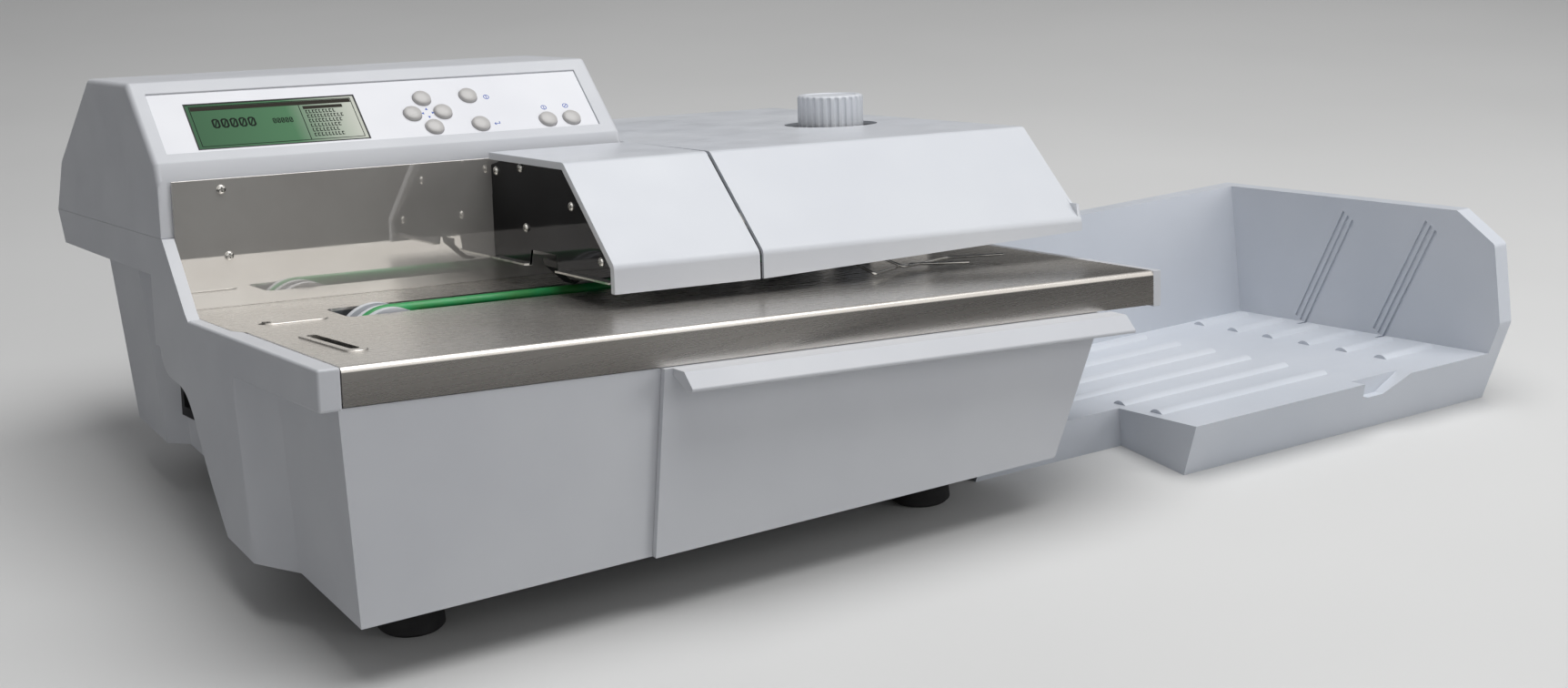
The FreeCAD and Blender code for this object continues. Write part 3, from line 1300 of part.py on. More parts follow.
def machineNodes():
    nodes = {
        "base_housing": baseHousing(),
        "base_pan": basePan(),
        "power_inlet": powerInlet(),
        "switch_frame": switchFrame(),
        "switch_rocker": switchRocker(),
        "deck_plate": deckPlate(),
        "end_rail": endRail(),
        "fence_plate": fencePlate(),
        "feeder_side_plate": union([feederSidePlate(), separatorBracket()]),
        "plate_screws": plateScrews(),
        "separator_pad": separatorPad(),
        "drive_frame": driveFrame(),
        "bearings": bearings(),
        "feed_belt": feedBelt(),
        "idler_pulley": group(feedPulley(idlerX),
                              shaft(idlerX, pulleyZ, feedPlateFront - 2, feedPlateBack + 5)),
        "drive_pulley": group(feedPulley(feedDriveX),
                              shaft(feedDriveX, pulleyZ, feedPlateFront - 2, driveBeltY + 5.5),
                              toothedPulley(feedDriveX, pulleyZ, shaftRadius)),
        "transport_drive_roller": group(roller(transportDriveX),
                                        shaft(transportDriveX, transportZ, transportPlateFront - 2, driveBeltY + 5.5),
                                        toothedPulley(transportDriveX, transportZ, shaftRadius)),
        "transport_end_roller": group(roller(transportIdlerX),
                                      shaft(transportIdlerX, transportZ, transportPlateFront - 2,
                                            transportPlateBack + 4.5)),
        "transport_belt": loopBelt([(transportDriveX, transportZ), (transportIdlerX, transportZ)],
                                   rollRadius + 0.1, flatBelt, transportFront, transportBeltWidth),
        "feed_motor": feedMotor(),
        "motor_shaft": group(rod(motorShaftRadius, motorX, driveBeltY - 6, motorZ, "y",
                                 motorFront + 12 - driveBeltY + 6),
                             toothedPulley(motorX, motorZ, motorShaftRadius)),
        "timing_belt": loopBelt([(feedDriveX, pulleyZ), (transportDriveX, transportZ), (motorX, motorZ)],
                                toothedRadius, driveBeltThickness, driveBeltY - driveBeltWidth / 2, driveBeltWidth),
        "chassis_plate": union([chassisPlate(), motorBracket()]),
        "chip_chute": chipChute(),
        "carriage_guides": carriageGuides(),
        "cutter_carriage": cutterCarriage(),
        "cutter_motor": cutterMotor(),
        "milling_cutter": group(millingCutter(), cutterSpindle()),
        "knob_bridge": knobBridge(),
        "depth_knob": group(depthKnob(), knobShaft()),
        "feeder_hood": feederHood(),
        "hood_knuckles": hoodHinge(),
        "main_cover": mainCover(),
        "cover_knuckles": coverHinge(),
        "hinge_brackets": group(coverBrackets(), hoodBrackets()),
        "hinge_pins": group(hingePins(coverHingeXs, coverHingeY, coverHingeZ, hingePinRadius),
                            hingePins(hoodHingeXs, hoodHingeY, hoodHingeZ, hoodPinRadius), armPins()),
        "roller_beam": rollerBeam(),
        "roller_arm_left": rollerArm(armXs[0]),
        "roller_arm_right": rollerArm(armXs[1]),
        "pressure_roller_left": pressureRoller(armXs[0]),
        "pressure_roller_right": pressureRoller(armXs[1]),
        "exit_guides": exitGuides(),
        "console_housing": consoleHousing(),
        "console_panel": consolePanel(),
        "lcd_module": lcdModule(),
        "button_board": buttonBoard(),
        "power_supply": powerSupply(),
        "drawer_front": drawerFront(),
        "chip_bin": chipBin(),
        "drawer_runners": drawerRunners(),
    }
    for name, (x, s) in buttonSpots.items():
        nodes[name] = button(x, s)
    return nodes


def main():
    os.makedirs("parts", exist_ok=True)
    shapes = {name: moved(shape, machineToTable) for name, shape in machineNodes().items()}
    shapes["feet"] = feet()
    shapes["output_tray"] = moved(outputTray(), trayToTable)
    for name, shape in shapes.items():
        shape.exportStep("parts/" + name + ".step")
        print(name, len(shape.Solids), "solids, volume", round(shape.Volume / 1000.0, 1), "cm3", shape.isValid())


main()
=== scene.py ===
import json
import math
import random

import bmesh
import bpy
from mathutils import Matrix, Vector


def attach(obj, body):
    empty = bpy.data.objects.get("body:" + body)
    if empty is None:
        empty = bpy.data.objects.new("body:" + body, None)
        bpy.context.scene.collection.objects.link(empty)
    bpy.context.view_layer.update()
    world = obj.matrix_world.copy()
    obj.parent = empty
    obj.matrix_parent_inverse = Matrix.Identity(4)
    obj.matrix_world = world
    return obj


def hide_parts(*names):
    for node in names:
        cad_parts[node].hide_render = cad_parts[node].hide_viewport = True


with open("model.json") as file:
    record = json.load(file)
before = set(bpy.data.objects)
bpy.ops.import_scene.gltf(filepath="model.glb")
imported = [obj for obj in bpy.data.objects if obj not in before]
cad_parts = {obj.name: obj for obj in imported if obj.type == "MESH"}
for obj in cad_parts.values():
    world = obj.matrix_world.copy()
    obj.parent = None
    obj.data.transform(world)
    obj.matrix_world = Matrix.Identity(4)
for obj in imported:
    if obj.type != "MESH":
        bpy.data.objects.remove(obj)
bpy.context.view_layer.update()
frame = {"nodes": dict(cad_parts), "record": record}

# Electric letter opener. Places are written in millimetres on the machine: X along the feed, Y to the
# back, Z square to the steel deck, from the deck's front left corner.

scene = bpy.context.scene
nodeBody = {node: body for body, group in frame["record"]["behaviour"]["bodies"].items() for node in group}
nodeSlot = {part["node"]: part["material_slot"] for part in frame["record"]["subparts"]}

stance = {
    "corner": (-60.0, -60.0, 211.2),   # the deck's corner over the front left foot
    "leanBack": 8.1,                   # degrees
    "leanRight": 4.25,
    "slopeStart": (0.0, 314.2, 106.7), # lower edge of the console's sloping face
    "slopeAngle": 43.34,
}


def turned(degrees, axis):
    return Matrix.Rotation(math.radians(degrees), 4, axis)


def shifted(x, y, z):
    return Matrix.Translation(Vector((x, y, z)) / 1000)


deckFrame = shifted(*stance["corner"]) @ turned(stance["leanRight"], "Y") @ turned(-stance["leanBack"], "X")
slopeFrame = deckFrame @ shifted(*stance["slopeStart"]) @ turned(stance["slopeAngle"], "X")


# Nodes and colours

def linear(hexColour):
    channels = [int(hexColour[i:i + 2], 16) / 255 for i in (1, 3, 5)]
    return tuple(c / 12.92 if c < 0.04045 else ((c + 0.055) / 1.055) ** 2.4 for c in channels) + (1.0,)


def addNode(tree, kind, settings=None, links=None):
    # Settings are the node's own options or, failing that, its inputs; links go to its inputs.
    node = tree.nodes.new(kind)
    for key, value in (settings or {}).items():
        if isinstance(key, str) and hasattr(node, key):
            setattr(node, key, value)
        else:
            node.inputs[key].default_value = value
    for key, source in (links or {}).items():
        tree.links.new(source, node.inputs[key])
    return node


def newMaterial(name, colour, roughness, metallic=0.0, **shading):
    # Returns the material, its tree, its shader and the object coordinates.
    material = bpy.data.materials.new(name)
    material.use_nodes = True
    tree = material.node_tree
    shader = tree.nodes["Principled BSDF"]
    shader.inputs["Base Color"].default_value = linear(colour)
    shader.inputs["Roughness"].default_value = roughness
    shader.inputs["Metallic"].default_value = metallic
    for key, value in shading.items():
        shader.inputs[key].default_value = value
    material.diffuse_color = linear(colour)
    place = addNode(tree, "ShaderNodeTexCoord").outputs["Object"]
    return material, tree, shader, place


def perMm(size):
    return 1000.0 / size


def toneDrift(tree, shader, place, light, dark, patch):
    # Broad, weak drift between two tones, as on any real moulding or sheet.
    cloud = addNode(tree, "ShaderNodeTexNoise", {"Scale": perMm(patch), "Detail": 3.0}, {"Vector": place})
    ramp = addNode(tree, "ShaderNodeValToRGB", {}, {"Fac": cloud.outputs["Fac"]})
    ramp.color_ramp.elements[0].position = 0.35
    ramp.color_ramp.elements[0].color = linear(dark)
    ramp.color_ramp.elements[1].position = 0.65
    ramp.color_ramp.elements[1].color = linear(light)
    tree.links.new(ramp.outputs["Color"], shader.inputs["Base Color"])
    return ramp


def roughDrift(tree, shader, place, low, high, patch, stretch=(1, 1, 1)):
    spread = addNode(tree, "ShaderNodeMapping", {"Scale": stretch}, {"Vector": place})
    smear = addNode(tree, "ShaderNodeTexNoise", {"Scale": perMm(patch), "Detail": 4.0},
                    {"Vector": spread.outputs[0]})
    span = addNode(tree, "ShaderNodeMapRange",
                   {"From Min": 0.3, "From Max": 0.7, "To Min": low, "To Max": high},
                   {"Value": smear.outputs["Fac"]})
    tree.links.new(span.outputs[0], shader.inputs["Roughness"])


def grain(tree, shader, place, size, depth, strength, stretch=(1, 1, 1)):
    # Bump from noise with cells of that size and relief of that depth, in millimetres.
    spread = addNode(tree, "ShaderNodeMapping", {"Scale": stretch}, {"Vector": place})
    cells = addNode(tree, "ShaderNodeTexNoise", {"Scale": perMm(size), "Detail": 2.0},
                    {"Vector": spread.outputs[0]})
    bump = addNode(tree, "ShaderNodeBump", {"Strength": strength, "Distance": depth / 1000},
                   {"Height": cells.outputs["Fac"]})
    tree.links.new(bump.outputs[0], shader.inputs["Normal"])


def mouldedPlastic(name, light, dark, rough, size, depth):
    material, tree, shader, place = newMaterial(name, light, rough, IOR=1.52)
    toneDrift(tree, shader, place, light, dark, 140)
    roughDrift(tree, shader, place, rough - 0.05, rough + 0.05, 30)
    grain(tree, shader, place, size, depth, 0.5)
    return material


def plainMetal(name, light, dark, rough, patch, stretch=(1, 1, 1)):
    material, tree, shader, place = newMaterial(name, light, rough, 1.0)
    toneDrift(tree, shader, place, light, dark, patch)
    roughDrift(tree, shader, place, rough - 0.06, rough + 0.08, 4, stretch)
    grain(tree, shader, place, 1.2, 0.02, 0.25, stretch)
    return material


def brushedStainless():
    # 304 sheet with a fine long-grain finish along the feed: streaked gloss, soft stretched highlights.
    # Real scratches are about 0.05 mm apart, drawn 0.5 mm apart so that they show.
    material, tree, shader, place = newMaterial("brushedStainless", "#d3d0cc", 0.28, 0.9, Anisotropic=0.5)
    shader.inputs["Anisotropic Rotation"].default_value = 0.25
    toneDrift(tree, shader, place, "#d4d1cd", "#ccc8c3", 110)
    roughDrift(tree, shader, place, 0.265, 0.285, 1.4, (0.01, 1, 1))
    grain(tree, shader, place, 0.5, 0.001, 0.03, (0.004, 1, 1))
    addTangent(tree, shader)
    return material


def addTangent(tree, shader):
    tangent = addNode(tree, "ShaderNodeTangent", {"direction_type": "RADIAL", "axis": "Y"})
    tree.links.new(tangent.outputs[0], shader.inputs["Tangent"])


def polishedStainless(name, light, dark, rough, metallic):
    # Mirror-polished sheet: sharp reflections with faint wiping marks and a slow waviness. Where less than
    # fully metallic, the pale matt share of the base colour is a painted reflection of the bright room.
    material, tree, shader, place = newMaterial(name, light, rough, metallic)
    toneDrift(tree, shader, place, light, dark, 60)
    roughDrift(tree, shader, place, rough * 0.6, rough * 1.7, 25, (1, 1, 0.3))
    grain(tree, shader, place, 90, 0.03, 0.2)
    return material


def urethane():
    # Green polyurethane belting: satin, a little translucent, with dusty wear along it.
    material, tree, shader, place = newMaterial("greenUrethane", "#168a4e", 0.38, IOR=1.5)
    shader.inputs["Subsurface Weight"].default_value = 0.08
    shader.inputs["Subsurface Radius"].default_value = (0.002, 0.004, 0.002)
    toneDrift(tree, shader, place, "#1c9a58", "#3a8a45", 22)
    roughDrift(tree, shader, place, 0.3, 0.5, 5)
    grain(tree, shader, place, 0.6, 0.03, 0.4)
    return material


def softRubber(name, light, dark):
    # Nitrile rubber: deep black-grey, wide dull sheen, moulded speckle.
    material, tree, shader, place = newMaterial(name, light, 0.72, IOR=1.5)
    toneDrift(tree, shader, place, light, dark, 12)
    grain(tree, shader, place, 0.7, 0.06, 0.6)
    return material


def galvanised():
    # Hot-dip zinc on sheet: blue-grey spangle in flakes of about 8 mm.
    material, tree, shader, place = newMaterial("galvanisedSheet", "#989da1", 0.42, 0.9)
    flakes = addNode(tree, "ShaderNodeTexVoronoi", {"Scale": perMm(8)}, {"Vector": place})
    ramp = addNode(tree, "ShaderNodeValToRGB", {}, {"Fac": flakes.outputs["Color"]})
    ramp.color_ramp.elements[0].color = linear("#878c90")
    ramp.color_ramp.elements[1].color = linear("#a9adb1")
    tree.links.new(ramp.outputs["Color"], shader.inputs["Base Color"])
    roughDrift(tree, shader, place, 0.34, 0.52, 7)
    return material


def displayFilm():
    # Backlit supertwist display, its uneven backlight painted into the base colour: green at the left, paling to
    # grey-olive at the right end.
    material, tree, shader, place = newMaterial("displayFilm", "#5d8c66", 0.45, IOR=1.15)
    along = addNode(tree, "ShaderNodeSeparateXYZ", {}, {"Vector": place})
    left, right = (lcd[end] / 1000 + stance["corner"][0] / 1000 for end in ("left", "right"))
    span = addNode(tree, "ShaderNodeMapRange", {"From Min": left, "From Max": right},
                   {"Value": along.outputs["X"]})
    ramp = addNode(tree, "ShaderNodeValToRGB", {}, {"Fac": span.outputs[0]})
    stops = ramp.color_ramp.elements
    stops[0].color = linear("#3a5f43")
    stops[1].color = linear("#c4c7bc")
    middle = stops.new(0.62)
    middle.color = linear("#4b7755")
    tree.links.new(ramp.outputs["Color"], shader.inputs["Base Color"])
    shader.inputs["Coat Weight"].default_value = 0.04
    shader.inputs["Coat Roughness"].default_value = 0.08
    cells = addNode(tree, "ShaderNodeTexVoronoi", {"Scale": perMm(0.9)}, {"Vector": place})
    bump = addNode(tree, "ShaderNodeBump", {"Strength": 0.08, "Distance": 0.0001},
                   {"Height": cells.outputs["Distance"]})
    tree.links.new(bump.outputs[0], shader.inputs["Normal"])
    return material


def circuitBoard():
    # Solder mask over copper tracks on fibreglass: dark green with paler right-angled runs.
    material, tree, shader, place = newMaterial("solderMask", "#0f4a2a", 0.3, IOR=1.55)
    tracks = addNode(tree, "ShaderNodeTexBrick",
                     {"Scale": perMm(30), "Mortar Size": 0.03, "Color1": linear("#0f4a2a"),
                      "Color2": linear("#115030"), "Mortar": linear("#2c7a46")}, {"Vector": place})
    tree.links.new(tracks.outputs["Color"], shader.inputs["Base Color"])
    grain(tree, shader, place, 3, 0.03, 0.4)
    return material


def printInk(name, colour, ior=1.45):
    # Screen-printed ink: thin, satin, faintly uneven in density. Liquid crystal under film shines less.
    material, tree, shader, place = newMaterial(name, colour, 0.45, IOR=ior)
    density = addNode(tree, "ShaderNodeTexNoise", {"Scale": perMm(1.5)}, {"Vector": place})
    roughness = addNode(tree, "ShaderNodeMapRange", {"To Min": 0.35, "To Max": 0.6},
                        {"Value": density.outputs["Fac"]})
    tree.links.new(roughness.outputs[0], shader.inputs["Roughness"])
    return material


# Sizes of the display, used by its film and by its image
lcd = {"left": 24.6, "right": 157.0, "low": 11.2, "high": 57.2, "face": -1.6}

print("materials")
finish = {
    # Injection-moulded ABS with a fine spark-eroded texture: off-white, low sheen. Grain drawn 0.8 mm.
    "housing": mouldedPlastic("mouldedAbs", "#c9cbcf", "#c3c5ca", 0.46, 0.8, 0.035),
    # Powder coat on steel sheet: cooler white with slight orange peel.
    "cover": mouldedPlastic("powderCoat", "#d2d5da", "#cdd0d6", 0.36, 1.6, 0.03),
    # Vacuum-formed polystyrene: cool white, smooth and softly glossy.
    "tray": mouldedPlastic("formedPolystyrene", "#d0d4db", "#c9ced6", 0.38, 2.2, 0.03),
    "panel": mouldedPlastic("polyesterFilm", "#dfe0e4", "#dadbe0", 0.4, 0.5, 0.01),
    "key": mouldedPlastic("keyResin", "#bdbbb9", "#b6b4b2", 0.3, 0.6, 0.012),
    "nylon": mouldedPlastic("naturalNylon", "#d5d8dd", "#cdd0d6", 0.42, 0.9, 0.02),
    "blackPlastic": mouldedPlastic("blackNylon", "#1b1b1d", "#151517", 0.5, 0.9, 0.03),
    "deck": brushedStainless(),
    # Fence: metallic 0.62, its pale matt share a painted reflection of the bright room it faces.
    "mirror": polishedStainless("polishedStainless", "#dbd9d5", "#d4d1cd", 0.022, 0.62),
    # Polished side plate: its near-black base colour is a painted reflection of the dark room around it.
    "sidePlatePaintedDark": polishedStainless("polishedSidePlate", "#24262c", "#1d1f24", 0.03, 1.0),
    "zinc": plainMetal("zincPlatedSteel", "#8f9298", "#83868c", 0.36, 30),
    "machined": plainMetal("turnedSteel", "#9fa1a4", "#929497", 0.26, 20, (1, 0.1, 1)),
    "screw": plainMetal("nickelPlate", "#c9c8c5", "#b5b4b1", 0.2, 8),
    "aluminium": plainMetal("milledAluminium", "#b9bbbe", "#adafb3", 0.34, 16, (0.2, 1, 1)),
    "galvanised": galvanised(),
    "belt": urethane(),
    "rubber": softRubber("nitrileRubber", "#232325", "#19191b"),
    "motor": mouldedPlastic("motorEnamel", "#2a2b2e", "#222326", 0.4, 1.2, 0.02),
    "board": circuitBoard(),
    "film": displayFilm(),
    "blueInk": printInk("blueInk", "#2450a8"),
    "segment": printInk("displaySegment", "#0c140f", 1.15),
    "headerSegment": printInk("displayHeader", "#2b2822", 1.15),
    "brass": plainMetal("brassContact", "#c2a25a", "#b08f4a", 0.3, 6),
}

slotFinish = {
    "white_housing": "housing", "white_cover": "cover", "tray_plastic": "tray", "steel_deck": "deck",
    "mirror_steel": "mirror", "steel_part": "machined", "zinc_sheet": "zinc", "screw_steel": "screw",
    "black_rubber": "rubber", "green_belt": "belt", "black_plastic": "blackPlastic", "light_nylon": "nylon",
    "panel_film": "panel", "lcd_glass": "film", "button_plastic": "key", "board_green": "board",
    "motor_black": "motor", "aluminium_part": "aluminium", "galvanised_sheet": "galvanised",
}


# Making pieces

def settle(piece, body, replaced=()):
    scene.collection.objects.link(piece)
    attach(piece, body)
    if replaced:
        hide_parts(*replaced)
    return piece


def shadeByAngle(mesh, degrees):
    # Smooth everywhere but over edges that turn by more than this.
    bm = bmesh.new()
    bm.from_mesh(mesh)
    limit = math.radians(degrees)
    for face in bm.faces:
        face.smooth = True
    for edge in bm.edges:
        edge.smooth = not (len(edge.link_faces) != 2 or edge.calc_face_angle(0.0) > limit)
    bm.to_mesh(mesh)
    bm.free()


def fromBmesh(bm, name, material, body, replaced=(), smooth=35):
    mesh = bpy.data.meshes.new(name)
    bmesh.ops.recalc_face_normals(bm, faces=bm.faces)
    bm.to_mesh(mesh)
    bm.free()
    mesh.materials.append(material)
    shadeByAngle(mesh, smooth)
    return settle(bpy.data.objects.new(name, mesh), body, replaced)


def flatMesh(source):
    # Modifiers and node trees are worked out and only the plain mesh is kept.
    bpy.context.view_layer.update()
    graph = bpy.context.evaluated_depsgraph_get()
    mesh = bpy.data.meshes.new_from_object(source.evaluated_get(graph))
    bpy.data.objects.remove(source)
    return mesh


def softened(node, material, edge, name=None):
    # The node's own shape with its loose triangles welded together, its sharp edges broken, as made parts have,
    # and its flat faces shaded flat.
    name = name or "".join(w if i == 0 else w.capitalize() for i, w in enumerate(node.split("_")))
    bm = bmesh.new()
    bm.from_mesh(frame["nodes"][node].data)
    bmesh.ops.remove_doubles(bm, verts=bm.verts, dist=2e-6)
    mesh = bpy.data.meshes.new(name)
    bm.to_mesh(mesh)
    bm.free()
    mesh.materials.clear()
    mesh.materials.append(material)
    blank = bpy.data.objects.new(name + "Blank", mesh)
    scene.collection.objects.link(blank)
    bevel = blank.modifiers.new("brokenEdge", "BEVEL")
    bevel.width = edge / 1000
    bevel.segments = 2
    bevel.limit_method = "ANGLE"
    bevel.angle_limit = math.radians(32)
    bevel.miter_outer = "MITER_ARC"
    mesh = flatMesh(blank)
    shadeByAngle(mesh, 48)
    blank = bpy.data.objects.new(name + "Blank", mesh)
    scene.collection.objects.link(blank)
    flatness = blank.modifiers.new("flatFaces", "WEIGHTED_NORMAL")
    flatness.mode = "FACE_AREA"
    flatness.weight = 90
    flatness.keep_sharp = True
    mesh = flatMesh(blank)
    mesh.name = name
    return settle(bpy.data.objects.new(name, mesh), nodeBody[node], [node])


def lathe(bm, profile, place, segments=48, mark=None):
    # Turns (radius, height) points in millimetres about the frame's Z; mark gives each ring its share of
    # the fluting.
    layer = bm.verts.layers.float.get("fluted") or bm.verts.layers.float.new("fluted")
    rings = []
    for i, (radius, height) in enumerate(profile):
        count = 1 if radius == 0 else segments
        ring = []
        for k in range(count):
            a = 2 * math.pi * k / segments
            spot = Vector((radius * math.cos(a), radius * math.sin(a), height)) / 1000
            vert = bm.verts.new(place @ spot)
            vert[layer] = mark[i] if mark else 0.0
            ring.append(vert)
        rings.append(ring)
    for low, high in zip(rings, rings[1:]):
        for k in range(segments):
            corners = [low[k % len(low)], low[(k + 1) % len(low)],
                       high[(k + 1) % len(high)], high[k % len(high)]]
            distinct = [v for j, v in enumerate(corners) if v not in corners[:j]]
            if len(distinct) > 2:
                bm.faces.new(distinct)
    return bm


def slab(bm, outline, low, high, place):
    # A flat plate with that outline between two heights of the frame.
    below = [bm.verts.new(place @ (Vector((x, y, low)) / 1000)) for x, y in outline]
    above = [bm.verts.new(place @ (Vector((x, y, high)) / 1000)) for x, y in outline]
    bm.faces.new(below[::-1])
    bm.faces.new(above)
    for i in range(len(outline)):
        j = (i + 1) % len(outline)
        bm.faces.new([below[i], below[j], above[j], above[i]])


def oblong(x0, x1, y0, y1):
    return [(x0, y0), (x1, y0), (x1, y1), (x0, y1)]


def band(bm, outer, inner, low, high, place):
    # A flat frame between two outlines of the same number of points.
    rows = [[bm.verts.new(place @ (Vector((x, y, z)) / 1000)) for x, y in line]
            for line, z in ((outer, low), (outer, high), (inner, high), (inner, low))]
    for i in range(4):
        for k in range(len(outer)):
            m = (k + 1) % len(outer)
            bm.faces.new([rows[i][k], rows[i][m], rows[(i + 1) % 4][m], rows[(i + 1) % 4][k]])


def ringPoints(x, y, radius, count=24):
    angles = [2 * math.pi * k / count for k in range(count)]
    return [(x + radius * math.cos(a), y + radius * math.sin(a)) for a in angles]


def newTree(name, inputs):
    tree = bpy.data.node_groups.new(name, "GeometryNodeTree")
    tree.interface.new_socket("Geometry", in_out="INPUT", socket_type="NodeSocketGeometry")
    sockets = {}
    for key, (kind, value) in inputs.items():
        socket = tree.interface.new_socket(key, in_out="INPUT", socket_type="NodeSocket" + kind)
        if value is not None:
            socket.default_value = value
        sockets[key] = socket.identifier
    tree.interface.new_socket("Geometry", in_out="OUTPUT", socket_type="NodeSocketGeometry")
    source = addNode(tree, "NodeGroupInput")
    return tree, sockets, source


def closeTree(tree, source, geometry):
    whole = addNode(tree, "GeometryNodeRealizeInstances", {}, {"Geometry": geometry})
    painted = addNode(tree, "GeometryNodeSetMaterial", {},
                      {"Geometry": whole.outputs[0], "Material": source.outputs["Material"]})
    addNode(tree, "NodeGroupOutput", {}, {0: painted.outputs[0]})


def grown(mesh, name, tree, sockets, values):
    # Runs a tree on a mesh with those inputs and keeps the plain result.
    seed = bpy.data.objects.new(name + "Seed", mesh)
    modifier = seed.modifiers.new("grow", "NODES")
    modifier.node_group = tree
    for key, value in values.items():
        modifier[sockets[key]] = value
    scene.collection.objects.link(seed)
    result = flatMesh(seed)
    result.name = name
    return result


def tubeTree():
    tree, sockets, source = newTree("sweptRound", {"Radius": ("Float", 0.001), "Sides": ("Int", 16),
                                                   "Material": ("Material", None)})
    path = addNode(tree, "GeometryNodeMeshToCurve", {}, {"Mesh": source.outputs["Geometry"]})
    section = addNode(tree, "GeometryNodeCurvePrimitiveCircle", {},
                      {"Radius": source.outputs["Radius"], "Resolution": source.outputs["Sides"]})
    swept = addNode(tree, "GeometryNodeCurveToMesh", {"Fill Caps": True},
                    {"Curve": path.outputs[0], "Profile Curve": section.outputs[0]})
    closeTree(tree, source, swept.outputs[0])
    return tree, sockets


def scatterTree():
    # One copy of an object at each point, turned by the point's own angles.
    tree, sockets, source = newTree("fastenerRow", {"Part": ("Object", None), "Material": ("Material", None)})
    part = addNode(tree, "GeometryNodeObjectInfo", {"As Instance": True}, {"Object": source.outputs["Part"]})
    turn = addNode(tree, "GeometryNodeInputNamedAttribute", {"data_type": "FLOAT_VECTOR", "Name": "turn"})
    copies = addNode(tree, "GeometryNodeInstanceOnPoints", {},
                     {"Points": source.outputs["Geometry"], "Instance": part.outputs["Geometry"],
                      "Rotation": turn.outputs["Attribute"]})
    closeTree(tree, source, copies.outputs[0])
    return tree, sockets


def fluteTree():
    # Presses scallops into the rings marked as fluted.
    tree, sockets, source = newTree("fluting", {"Flutes": ("Int", 26), "Depth": ("Float", 0.0014),
                                                "Material": ("Material", None)})
    fluted = addNode(tree, "GeometryNodeInputNamedAttribute", {"data_type": "FLOAT", "Name": "fluted"})
    here = addNode(tree, "GeometryNodeInputPosition")
    parts = addNode(tree, "ShaderNodeSeparateXYZ", {}, {0: here.outputs[0]})
    angle = addNode(tree, "ShaderNodeMath", {"operation": "ARCTAN2"},
                    {0: parts.outputs["Y"], 1: parts.outputs["X"]})
    many = addNode(tree, "ShaderNodeMath", {"operation": "MULTIPLY"},
                   {0: angle.outputs[0], 1: source.outputs["Flutes"]})
    wave = addNode(tree, "ShaderNodeMath", {"operation": "COSINE"}, {0: many.outputs[0]})
    groove = addNode(tree, "ShaderNodeMapRange",
                     {"From Min": -0.35, "From Max": 0.55, "interpolation_type": "SMOOTHSTEP"},
                     {"Value": wave.outputs[0]})
    deep = addNode(tree, "ShaderNodeMath", {"operation": "MULTIPLY"},
                   {0: groove.outputs[0], 1: source.outputs["Depth"]})
    masked = addNode(tree, "ShaderNodeMath", {"operation": "MULTIPLY"},
                     {0: deep.outputs[0], 1: fluted.outputs["Attribute"]})
    flat = addNode(tree, "ShaderNodeCombineXYZ", {}, {"X": parts.outputs["X"], "Y": parts.outputs["Y"]})
    inward = addNode(tree, "ShaderNodeVectorMath", {"operation": "NORMALIZE"}, {0: flat.outputs[0]})
    sunk = addNode(tree, "ShaderNodeMath", {"operation": "MULTIPLY", 1: -1.0}, {0: masked.outputs[0]})
    push = addNode(tree, "ShaderNodeVectorMath", {"operation": "SCALE"},
                   {0: inward.outputs[0], "Scale": sunk.outputs[0]})
    pressed = addNode(tree, "GeometryNodeSetPosition", {},
                      {"Geometry": source.outputs["Geometry"], "Offset": push.outputs[0]})
    closeTree(tree, source, pressed.outputs[0])
    return tree, sockets


sweptRound, sweptSockets = tubeTree()
fastenerRow, rowSockets = scatterTree()
fluting, fluteSockets = fluteTree()


def tube(name, points, radius, material, body, replaced=(), closed=False, sides=16, place=deckFrame):
    # Round stock along a run of points; several runs may share one piece.
    mesh = bpy.data.meshes.new(name + "Path")
    runs = points if isinstance(points[0], list) else [points]
    verts, edges = [], []
    for run in runs:
        first = len(verts)
        verts += [place @ (Vector(p) / 1000) for p in run]
        edges += [(first + i, first + i + 1) for i in range(len(run) - 1)]
        if closed:
            edges.append((len(verts) - 1, first))
    mesh.from_pydata(verts, edges, [])
    result = grown(mesh, name, sweptRound, sweptSockets,
                   {"Radius": radius / 1000, "Sides": sides, "Material": material})
    shadeByAngle(result, 50)
    return settle(bpy.data.objects.new(name, result), body, replaced)


def rounded(points, reach, steps=6):
    # Softens a run's corners: each becomes a short curve that starts that far before it.
    path = [Vector(p) for p in points]
    smooth = [path[0]]
    for before, corner, after in zip(path, path[1:], path[2:]):
        a = corner + (before - corner).normalized() * min(reach, (before - corner).length * 0.48)
        b = corner + (after - corner).normalized() * min(reach, (after - corner).length * 0.48)
        for k in range(steps + 1):
            t = k / steps
            smooth.append(a * (1 - t) ** 2 + corner * 2 * t * (1 - t) + b * t ** 2)
    smooth.append(path[-1])
    return smooth


def scattered(name, part, spots, material, body, replaced=()):
    # spots are (place in mm, outward direction) on the machine.
    mesh = bpy.data.meshes.new(name + "Points")
    mesh.from_pydata([deckFrame @ (Vector(p) / 1000) for p, _ in spots], [], [])
    turn = mesh.attributes.new("turn", "FLOAT_VECTOR", "POINT")
    for i, (_, outward) in enumerate(spots):
        facing = (deckFrame.to_3x3() @ Vector(outward)).to_track_quat("Z", "Y").to_euler()
        turn.data[i].vector = tuple(facing)
    result = grown(mesh, name, fastenerRow, rowSockets, {"Part": part, "Material": material})
    shadeByAngle(result, 35)
    return settle(bpy.data.objects.new(name, result), body, replaced)


# Parts whose solid shape is right: their edges are broken and they get their finish.
print("housing, sheets and mechanism")

